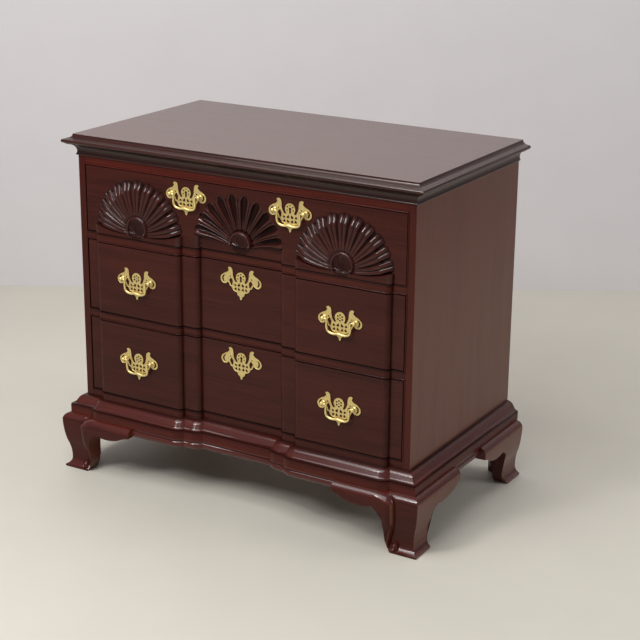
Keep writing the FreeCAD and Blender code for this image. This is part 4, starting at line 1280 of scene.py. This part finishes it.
def shell_tree(name, raised):
    """Geometry tree that carves a shell: raised ridges, or sunk flutes between ridges."""
    s = settings("shells")
    b = settings("blocking")
    inputs = {"Middle": "NodeSocketFloat", "Ground": "NodeSocketFloat",
              "Lower edge": "NodeSocketFloat", "Depth": "NodeSocketFloat",
              "Finish": "NodeSocketMaterial"}
    tree, nodes, entry = geometry_tree(name, inputs)
    middle, ground, bottom, depth = (nodes.term(entry, k) for k in range(1, 5))
    if raised:
        rule = ShellRule(nodes, s.outer_lobes, s.outer_plain, s.outer_radius, s.outer_centre,
                         s.outer_turn, s.outer_bend, s.notch)
    else:
        rule = ShellRule(nodes, s.middle_lobes, s.middle_plain, s.middle_radius, s.middle_centre,
                         s.middle_turn, s.middle_bend, s.middle_notch)
    t, rho = rule.t, rule.rho
    if raised:
        crown = BLOCK_RISE - 1.4 * MM
        roll = rho.ramp(0.68, 0.98)
        ridge = (roll * pi).cos() * 4.4 * MM + 7.8 * MM - rho.ramp(0.92, 1) * MM
        ridge = ridge - (1 - rho.ramp(0, 0.10)) * 3.0 * MM
        deep = rho.ramp(0, 0.5) * (depth - 1.4 * MM) + 1.4 * MM - rho.ramp(0.80, 1) * 2.2 * MM
        valley = (1 - ((1 - t) / 0.27) ** 2.0).root() * (t > 0.73)
        rib = (1 - ((t - 0.45) / 0.36) ** 2.0).root()
        ribs = (rib - 1) * (rho.ramp(0, 0.5) * 1.9 + 0.5) * MM
        carved = ridge - deep * valley + ribs * (1 - valley)
        on_round = rule.gap.most(BLOCK_RISE)
        plain = (on_round * (2 * BLOCK_RISE) - on_round ** 2.0).root()
        # Painted shade in the valleys, in the groove between each pair of ribs, near the eye and on
        # the ends of the ridges past their crown.
        hollow = valley * rho.ramp(0.02, 0.3) * 0.9 + (1 - rho.ramp(0, 0.08)) * 0.6
        hollow = hollow + (1 - t.ramp(0.05, 0.17)) * 0.8 + rho.ramp(0.86, 0.97) * 0.5
    else:
        crown = s.floor + 6.5 * MM
        face = b.recess_depth + s.floor
        ridge = rho.ramp(0, 0.86) * (face - s.floor - 4.4 * MM) + s.floor + 4.2 * MM
        ridge = ridge - (1 - rho.ramp(0, 0.08)) * 2.4 * MM
        end = rho.ramp(0.80, 1)
        wide = 0.58
        hold = (1 - (t / wide) ** 2.0 - end * end).least(0)
        shape = hold ** 0.42
        deep = rho.ramp(0, 0.75) * (depth - 2.4 * MM) + 2.4 * MM
        rib = (1 - ((t - 0.75) / 0.16) ** 2.0).root() * (t > wide)
        carved = ridge - deep * shape + rib * (rho.ramp(0, 0.5) * 1.4 + 0.6) * MM - 1.6 * MM
        inside_wall = (b.recess_edge - abs(rule.x)).least(0).most(b.recess_depth)
        plain = (b.recess_depth ** 2 - inside_wall * inside_wall).root() + s.floor - 0.1 * MM
        # Painted shade in the hollow flutes, near the eye and in the groove along each ridge.
        hollow = shape * rho.ramp(0.02, 0.4) + (1 - rho.ramp(0, 0.06)) * 0.6
        hollow = hollow + t.ramp(0.86, 0.94) * 0.9
    in_eye = rho < NEARLY_NONE
    worked = plain + (carved - plain) * rule.inside
    height = worked + (rule.rosette(crown, plain) - worked) * in_eye
    curl = rule.bump(rule.eye_side - 2 * MM, rule.eye_foot + 1.5 * MM, 5.2 * MM, 2.8 * MM)
    # Painted shade inside the eye, within its bead.
    eye_hollow = (1 - rule.sigma.ramp(0.78, 0.88)) * 0.65
    shade = hollow * rule.inside
    shade = shade + (eye_hollow - shade) * in_eye
    rule.place(height.least(0) + curl, middle, ground, bottom, shade,
               nodes.find(entry.outputs, "Finish"))
    return tree


def make_shells():
    """Two raised shells and the sunk one between them."""
    s = settings("shells")
    b = settings("blocking")
    trees = {True: shell_tree("raised_shell_tree", True),
             False: shell_tree("sunk_shell_tree", False)}
    bottom = low("top_drawer_front").z
    flat_top = bottom + 27 * MM
    block = (b.block_outer + b.block_inner) / 2
    places = {"left": (-block, True), "middle": (0.0, False), "right": (block, True)}
    for name, (x, raised) in places.items():
        base = link("shell_base", bpy.data.meshes.new("shell_base"))
        values = {"Middle": x, "Lower edge": bottom, "Finish": FINISHES["shell_X"],
                  "Ground": FACE_Y if raised else FACE_Y + b.recess_depth + s.floor,
                  "Depth": s.valley if raised else s.middle_valley}
        mesh = run_tree(base, trees[raised], values, "carved_shell_" + name)
        bm = bmesh.new()
        bm.from_mesh(mesh)
        merge_points(bm)
        bmesh.ops.holes_fill(bm, edges=[e for e in bm.edges if e.is_boundary], sides=0)
        shell = drawer_piece(bm, "carved_shell_" + name, "shell_X", "top", "shell_" + name, 60)
        refinish(shell, "front_X",
                 lambda face: face.normal.y < -0.99 and face.center.z < flat_top)


# ------------------------------------------------------------------ brasses

def plate_outline():
    """Batwing plate round its boss, in millimetres, clockwise from the top."""
    half = (oval(0, 0, 12.7, 12.7, 90, -38, 10) + [(10.4, -10.2), (12.6, -11.1), (14.8, -9.9)]
            + arc((15.6, -8.6), (19.8, 0), (21, 10), 6)
            + arc((22, 16), (28, 21.3), (33.5, 19.5), 6) + [(31.3, 13.5), (36, 9), (43, 6)]
            + arc((48.5, 2), (53.2, -7), (45, -17.8), 8)
            + [(38.5, -17.3), (33.5, -13), (30.5, -16.5), (28, -21.5), (24, -22.5)]
            + arc((22.5, -26), (18.5, -31), (12.5, -33), 5)
            + [(9.6, -35), (9.2, -39), (3.2, -43.5), (2.6, -47.5), (0, -50.5)])
    return half + [(-x, z) for x, z in reversed(half[1:-1])]


def dot(x, z, radius, steps=10):
    return oval(x, z, radius, radius, 0, 360, steps)[:-1]


def both_sides(outlines):
    return outlines + [[(-x, z) for x, z in reversed(line)] for line in outlines]


def drop_hole(x, z, width, tall, lean):
    """Upright tear shaped piercing."""
    upper = oval(x, z - tall / 2 + width / 2, width / 2, width / 2, 180, 360, 6)
    return upper + [(x + lean, z + tall / 2)]


def piercings(keyed):
    """Openings through a plate, in millimetres."""
    holes = both_sides([drop_hole(5.3, -16.2, 6.6, 8, -1.8), drop_hole(14.4, -17, 5.8, 6, 1),
                        drop_hole(5, -25.8, 6, 6.8, 1), drop_hole(14, -25.6, 6, 6.8, -1),
                        [(20.8, -9.5), (24.5, -3), (27, -3.5), (30.5, -9), (27.5, -14.5),
                         (25, -19), (22.3, -18.5), (21.4, -14)], dot(28, 0.3, 1.7, 8),
                        [(40.5, 2.3), (45, 1.2), (48.4, -3), (48.9, -8), (46.3, -12.8),
                         (41.5, -14), (43.2, -11.5), (44.8, -8), (44.9, -3.5), (43, -0.5)]])
    if keyed:
        bow = oval(0, 0.8, 3, 3, -50, 230, 12)
        holes.append(bow + [(-2.3, -9.2), (2.3, -9.2)])
        holes += both_sides([dot(6.6, 4.8, 1.9, 8), dot(7.6, -2.4, 1.6, 8)])
        return holes + [dot(0, 8, 1.7, 8)]
    holes.append(dot(0, 0, 1.5, 8))
    petals = [dot(6.3 * cos(a), 6.3 * sin(a), 2.1)
              for a in (radians(30 + 60 * k) for k in range(6))]
    return holes + petals


SHARPEST_CORNER = 0.625  # cosine of half the turn from which on a corner is cut short


def inset(points, distance):
    """Closed line moved sideways, towards its left hand; very sharp corners are cut short."""
    moved = []
    count = len(points)
    for k in range(count):
        p = Vector(points[k])
        before = (p - Vector(points[k - 1])).normalized()
        after = (Vector(points[(k + 1) % count]) - p).normalized()
        along = before + after
        if along.length < NEARLY_NONE:
            along = after
        along.normalize()
        normal = Vector((-along.y, along.x))
        stretch = 1 / max(SHARPEST_CORNER, along.dot(after))
        moved.append(tuple(p + normal * (distance * stretch)))
    return moved


def turns_left(points):
    return sum(a[0] * b[1] - b[0] * a[1] for a, b in zip(points, points[1:] + points[:1])) > 0


def add_plate(bm, x, face_y, z, keyed):
    """One cast plate with raised rims and a lower field."""
    hollow = hollow_layer(bm)
    thick = settings("brasses").plate / MM
    # Millimetres in from the outline, millimetres off the wood, and share of patina.
    steps = [(0, 0, 1.0), (0, thick * 0.75, 0.9), (0.28, thick, 0.0), (0.8, thick, 0.0),
             (1.15, thick * 0.76, 0.24)]
    loops = [(plate_outline(), True)] + [(hole, False) for hole in piercings(keyed)]
    field_edges, back_edges = [], []
    for points, outer in loops:
        if turns_left(points) != outer:
            points = points[::-1]
        rings = []
        for distance, rise, dark in steps:
            line = inset(points, distance if outer else distance * 0.5)
            ring = [bm.verts.new((x + u * MM, face_y - rise * MM, z + w * MM)) for u, w in line]
            for vert in ring:
                vert[hollow] = dark
            rings.append(ring)
        for a, b in zip(rings, rings[1:]):
            for k in range(len(a)):
                j = (k + 1) % len(a)
                bm.faces.new((a[k], a[j], b[j], b[k]))
        for edges, ring in ((field_edges, rings[-1]), (back_edges, rings[0])):
            for ends in zip(ring, ring[1:] + ring[:1]):
                edges.append(bm.edges.get(ends) or bm.edges.new(ends))
    for edges in (field_edges, back_edges):
        bmesh.ops.triangle_fill(bm, use_beauty=True, use_dissolve=False, edges=edges)


def pull_places(level):
    """Middle of each pull's boss on the drawer face, with the body of its bail."""
    s = settings("brasses")
    found = []
    for joint in frame["joints"]:
        if joint["name"].startswith(level) and "hinge" in joint["name"]:
            x, y, z = joint["pos_m"]
            found.append(((x, y + s.pivot_reach, z + s.boss_rise), joint["child"]))
    return found


def make_plates():
    """Batwing plates behind the bails and the key plates between them."""
    s = settings("brasses")
    for level in LEVELS:
        bm = bmesh.new()
        for place, _ in pull_places(level):
            add_plate(bm, *place, level == "top")
        brass_piece(bm, level + "_cast_plates", level + "_drawer", level + "_pull_plates", 50)
    for level in ("middle", "bottom"):
        node = level + "_escutcheon"
        bm = bmesh.new()
        add_plate(bm, 0, high(node).y, high(node).z - s.key_drop, True)
        brass_piece(bm, level + "_key_plate", level + "_drawer", node, 50)


def turned(profile):
    """Turned part along -Y from a profile of (radius, distance), in millimetres."""
    bm = bmesh.new()
    skin(bm, [[(x, -distance * MM, z) for x, z in in_metres(dot(0, 0, radius, 20))]
              for radius, distance in profile])
    tidy_mesh(bm)
    return link("turned", to_mesh(bm, "turned", 40))


def square_nut():
    """Square nut with softened edges, for a shank's end."""
    half, thick, soft = 5.5 * MM, 4 * MM, 0.6 * MM
    bm = bmesh.new()
    prism(bm, [(-half, -half), (half, -half), (half, half), (-half, half)], 0, thick, "Y")
    soften(bm, soft)
    return link("nut", to_mesh(bm, "nut", 40))


def fitting_tree():
    """Geometry tree that sets a copy of one part on every point."""
    tree, nodes, entry = geometry_tree("fitting_tree", {"Part": "NodeSocketObject",
                                                        "Finish": "NodeSocketMaterial"})
    part = nodes.add("GeometryNodeObjectInfo", None,
                     {"Object": nodes.find(entry.outputs, "Part")})
    copies = nodes.add("GeometryNodeInstanceOnPoints", None,
                       {"Points": nodes.find(entry.outputs, "Geometry"),
                        "Instance": nodes.find(part.outputs, "Geometry")})
    end_tree(nodes, copies.outputs[0], nodes.find(entry.outputs, "Finish"))
    return tree


def make_posts():
    """Turned posts with their shanks and square nuts."""
    s = settings("brasses")
    tree = fitting_tree()
    pivot, past_nut = s.pivot_reach / MM, 6
    for level in LEVELS:
        places = [(x + sign * s.post_spacing / 2, y, z - s.boss_rise)
                  for (x, y, z), _ in pull_places(level) for sign in (-1, 1)]
        nut_y = high(level + "_drawer_front").y
        shank = (nut_y - places[0][1]) / MM + past_nut
        profile = [(2.1, -shank), (2.2, 2.0), (4.6, 2.0), (4.9, 2.6), (4.5, 3.3), (3.0, 4.0),
                   (2.7, 5.0), (3.1, 6.0), (4.0, pivot - 3.2), (4.5, pivot - 1.2),
                   (4.5, pivot + 1.0), (3.6, pivot + 3.0), (1.8, pivot + 4.0),
                   (0.0, pivot + 4.2)]
        bm = bmesh.new()
        for part, spots in ((turned(profile), places),
                            (square_nut(), [(x, nut_y, z) for x, _, z in places])):
            points = bpy.data.meshes.new("places")
            points.from_pydata(spots, [], [])
            values = {"Part": part, "Finish": FINISHES["brass"]}
            bm.from_mesh(run_tree(link("places", points), tree, values, "fittings"))
            bpy.data.objects.remove(part)
        brass_piece(bm, level + "_turned_posts", level + "_drawer", level + "_pull_posts", 40)


def bail_tree():
    """Geometry tree that gives a path a round rod that swells towards its middle."""
    tree, nodes, entry = geometry_tree("bail_tree", {"End radius": "NodeSocketFloat",
                                                     "Middle radius": "NodeSocketFloat",
                                                     "Finish": "NodeSocketMaterial"})
    path = nodes.add("GeometryNodeResampleCurve", None,
                     {"Curve": nodes.find(entry.outputs, "Geometry"), "Count": 72})
    along = nodes.term(nodes.add("GeometryNodeSplineParameter"), "Factor")
    thin, thick = nodes.term(entry, "End radius"), nodes.term(entry, "Middle radius")
    radius = thin + (thick - thin) * (along * pi).sin() ** 1.5
    ring = nodes.add("GeometryNodeCurvePrimitiveCircle", None, {"Resolution": 14, "Radius": 1.0})
    rod = nodes.add("GeometryNodeCurveToMesh", None,
                    {"Curve": path.outputs[0], "Profile Curve": ring.outputs[0],
                     "Scale": radius, "Fill Caps": True})
    end_tree(nodes, rod.outputs[0], nodes.find(entry.outputs, "Finish"))
    return tree


def make_bails():
    """Swan necked bails, each hung on its two posts."""
    s = settings("brasses")
    tree = bail_tree()
    full_lean = 30 * MM
    half = [(42.4, 0), (36, 0), (31.5, 0.4), (28.6, -1.2), (28.0, -6), (29.0, -13), (28.6, -20),
            (26.4, -26.5), (20.5, -29.9), (13, -31), (6, -30.2)]
    points = half + [(0, -28.6)] + [(-u, w) for u, w in reversed(half)]
    for level in LEVELS:
        for (x, y, z), bail in pull_places(level):
            curve = bpy.data.curves.new("bail_path", "CURVE")
            curve.dimensions = "3D"
            line = curve.splines.new("NURBS")
            line.points.add(len(points) - 1)
            for spot, (u, w) in zip(line.points, in_metres(points)):
                back = s.lean * min(1, -w / full_lean) if w < 0 else 0
                spot.co = (x + u, y - s.pivot_reach + back, z - s.boss_rise + w, 1)
            line.order_u = 3
            line.use_endpoint_u = True
            curve.resolution_u = 8
            values = {"End radius": s.pin_radius, "Middle radius": s.bow_radius,
                      "Finish": FINISHES["brass"]}
            bm = bmesh.new()
            bm.from_mesh(run_tree(link("bail_path", curve), tree, values, bail + "_rod"))
            brass_piece(bm, bail + "_rod", bail, bail, 60)


# ------------------------------------------------------------------ carried over pieces

def finish_kept_nodes():
    """Better materials for the CAD pieces whose shape is kept."""
    # The side panels take the lighter side copy of the mahogany: partly painted light.
    finishes = {"side_panel": "side_Z", "back_panel": "plain_X", "dust_panel": "plain_X",
                "case_bottom": "plain_X", "drawer_runners": "plain_Y", "drawer_kickers": "plain_Y",
                "drawer_stops": "plain_X", "top_cleats": "plain_X", "drawer_bottom": "lining_X",
                "drawer_back": "lining_X", "drawer_left_side": "lining_Y",
                "drawer_right_side": "lining_Y"}
    for node, obj in frame["nodes"].items():
        if obj.hide_render:
            continue
        found = [name for part, name in finishes.items() if part in node]
        if not found:
            raise ValueError(f"{node} has no finish")
        for slot in obj.material_slots:
            slot.material = FINISHES[found[0]]


# ------------------------------------------------------------------ stage

CAMERA_AIM = Vector((0.0686, 0.0150, 0.3844))
FLOOR_RADIUS, FADE_FROM, FADE_TO = 7, 3, 6.5
WALL_HALF, WALL_HEIGHT = 6, 5


def camera_axes():
    """Right, up and backwards as the camera sees them."""
    s = settings("stage")
    back = Vector((sin(s.azimuth) * cos(s.elevation), -cos(s.azimuth) * cos(s.elevation),
                   sin(s.elevation)))
    right = (-back).cross(Vector((0, 0, 1))).normalized()
    up = right.cross(-back)
    return (right * cos(s.roll) + up * sin(s.roll), up * cos(s.roll) - right * sin(s.roll), back)


def make_camera():
    """Camera that looks down on the chest from its front right."""
    s = settings("stage")
    right, up, back = camera_axes()
    data = bpy.data.cameras.new("view")
    data.lens = s.lens
    data.sensor_width = 36
    camera = link("view", data)
    turn = Matrix((right, up, back)).transposed().to_4x4()
    camera.matrix_world = Matrix.Translation(CAMERA_AIM + back * s.distance) @ turn
    bpy.context.scene.camera = camera


def plain_paint(name, tint, grain, seen_from_front):
    """Matt paint with a faint mottle: clear from behind, or fading out far from the chest."""
    material, nodes, shader = new_material(name)
    place = nodes.add("ShaderNodeTexCoord").outputs["Object"]
    cloud = nodes.noise(place, 4, scale=grain)
    dark = tuple(c * 0.93 for c in tint)
    if seen_from_front:
        clear = nodes.term(nodes.add("ShaderNodeNewGeometry"), "Backfacing")
    else:
        x, y = nodes.parts(place)[:2]
        clear = (x * x + y * y).root().ramp(FADE_FROM, FADE_TO)
    nodes.feed_all(shader, {"Base Color": nodes.blend(cloud, dark, tint), "Roughness": 0.55,
                            "Alpha": 1 - clear})
    return material


def make_floor_and_wall():
    """Round floor, and a backdrop square to the camera's direction."""
    s = settings("stage")
    back = Vector((sin(s.azimuth), -cos(s.azimuth), 0))
    right = Vector((-back.y, back.x, 0))
    disc = [(x, y, 0) for x, y in dot(0, 0, FLOOR_RADIUS, 48)]
    wall = [(side * WALL_HALF, -s.wall_behind, z)
            for side, z in ((-1, 0), (1, 0), (1, WALL_HEIGHT), (-1, WALL_HEIGHT))]
    for name, tint, corners in (("floor", s.floor[:], disc), ("backdrop", s.wall[:], wall)):
        bm = bmesh.new()
        bm.faces.new([bm.verts.new(right * a + back * b + Vector((0, 0, c)))
                      for a, b, c in corners])
        mesh = to_mesh(bm, name)
        mesh.materials.append(plain_paint(name + "_paint", tint, 6, name == "backdrop"))
        link(name, mesh)


def make_light(name, place, aim, size, power):
    """Soft rectangular light at a place, turned towards its aim."""
    data = bpy.data.lights.new(name, "AREA")
    data.shape = "RECTANGLE"
    data.size, data.size_y = size
    data.energy = power
    lamp = link(name, data)
    lamp.location = place
    lamp.rotation_euler = (Vector(aim) - Vector(place)).to_track_quat("-Z", "Y").to_euler()


def make_lights():
    """Five soft lights, and a pale room round them."""
    make_light("key", (-0.7, -2.4, 2.3), (0, -0.3, 0.3), (0.5, 0.5), 26)
    make_light("overhead", (-0.2, -1.5, 2.8), (0, 0, 0.2), (2.6, 1.8), 60)
    make_light("ceiling", (0, 0.9, 3.0), (0, 0.9, 0), (2.5, 1.6), 20)
    make_light("lamp", (-0.3, -1.8, 2.4), (0, -0.3, 0.3), (1.2, 0.3), 14)
    make_light("right_back", (3.0, 0.9, 2.0), (0.4, 0, 0.4), (1.4, 1.4), 25)
    world = bpy.data.worlds.new("room")
    bpy.context.scene.world = world
    world.use_nodes = True
    nodes = Nodes(world.node_tree)
    world.node_tree.nodes.clear()
    path = nodes.add("ShaderNodeLightPath")
    seen = (nodes.term(path, "Is Camera Ray") + nodes.term(path, "Is Glossy Ray")
            + nodes.term(path, "Is Transmission Ray")).unit()
    light = nodes.add("ShaderNodeBackground", None,
                      {"Color": (0.93, 0.95, 1.0), "Strength": seen * 0.15 + 0.20})
    nodes.add("ShaderNodeOutputWorld", None, {"Surface": light.outputs[0]})
    bpy.context.scene.view_settings.view_transform = "Standard"


# ------------------------------------------------------------------ operators

class CHEST_OT_finishes(bpy.types.Operator):
    """Makes the wood, brass and lining materials"""
    bl_idname = "chest.finishes"
    bl_label = "Finishes"

    def execute(self, context):
        make_finishes()
        return {"FINISHED"}


class CHEST_OT_top(bpy.types.Operator):
    """Builds the moulded top and the cove under it"""
    bl_idname = "chest.top"
    bl_label = "Top and cove"

    def execute(self, context):
        make_top()
        make_cove()
        return {"FINISHED"}


class CHEST_OT_rails(bpy.types.Operator):
    """Builds the beaded stiles and the blocked rails between the drawers"""
    bl_idname = "chest.rails"
    bl_label = "Stiles and rails"

    def execute(self, context):
        make_stiles()
        make_top_rail()
        for node in ("upper_rail", "lower_rail", "bottom_rail"):
            make_rail(node)
        return {"FINISHED"}


class CHEST_OT_base(bpy.types.Operator):
    """Builds the blocked base moulding and the rolled skirts"""
    bl_idname = "chest.base"
    bl_label = "Base moulding and skirts"

    def execute(self, context):
        make_base_moulding()
        make_skirts()
        return {"FINISHED"}


class CHEST_OT_feet(bpy.types.Operator):
    """Builds the four ogee bracket feet"""
    bl_idname = "chest.feet"
    bl_label = "Feet"

    def execute(self, context):
        make_front_feet()
        make_rear_feet()
        return {"FINISHED"}


class CHEST_OT_fronts(bpy.types.Operator):
    """Builds the three drawer fronts"""
    bl_idname = "chest.fronts"
    bl_label = "Drawer fronts"

    def execute(self, context):
        make_blocked_fronts()
        make_top_front()
        return {"FINISHED"}


class CHEST_OT_shells(bpy.types.Operator):
    """Carves the two raised shells and the sunk one"""
    bl_idname = "chest.shells"
    bl_label = "Shells"

    def execute(self, context):
        make_shells()
        return {"FINISHED"}


class CHEST_OT_plates(bpy.types.Operator):
    """Builds the cast plates and key plates"""
    bl_idname = "chest.plates"
    bl_label = "Plates"

    def execute(self, context):
        make_plates()
        return {"FINISHED"}


class CHEST_OT_pulls(bpy.types.Operator):
    """Builds the posts, nuts and bails"""
    bl_idname = "chest.pulls"
    bl_label = "Posts and bails"

    def execute(self, context):
        make_posts()
        make_bails()
        return {"FINISHED"}


class CHEST_OT_kept(bpy.types.Operator):
    """Gives the kept CAD pieces their wood"""
    bl_idname = "chest.kept"
    bl_label = "Inner woodwork"

    def execute(self, context):
        finish_kept_nodes()
        return {"FINISHED"}


class CHEST_OT_stage(bpy.types.Operator):
    """Sets up the floor, backdrop, lights and camera"""
    bl_idname = "chest.stage"
    bl_label = "Stage"

    def execute(self, context):
        make_camera()
        make_floor_and_wall()
        make_lights()
        return {"FINISHED"}


STEPS = (CHEST_OT_finishes, CHEST_OT_top, CHEST_OT_rails, CHEST_OT_base, CHEST_OT_feet,
         CHEST_OT_fronts, CHEST_OT_shells, CHEST_OT_plates, CHEST_OT_pulls, CHEST_OT_kept,
         CHEST_OT_stage)


class CHEST_PT_panel(bpy.types.Panel):
    """Lists the chest's building steps"""
    bl_label = "Block front chest"
    bl_idname = "CHEST_PT_panel"
    bl_space_type = "VIEW_3D"
    bl_region_type = "UI"
    bl_category = "Chest"

    def draw(self, context):
        for step in STEPS:
            self.layout.operator(step.bl_idname)


CLASSES = (BlockingSizes, FootSizes, ShellSizes, BrassSizes, Finishes, StageSizes,
           ChestSettings, *STEPS, CHEST_PT_panel)


def register():
    for item in CLASSES:
        bpy.utils.register_class(item)
    bpy.types.Scene.block_front_chest = bpy.props.PointerProperty(type=ChestSettings)


def unregister():
    del bpy.types.Scene.block_front_chest
    for item in reversed(CLASSES):
        bpy.utils.unregister_class(item)


def main():
    register()
    for step in STEPS:
        group, name = step.bl_idname.split(".")
        getattr(getattr(bpy.ops, group), name)()


if __name__ == "__main__":
    main()
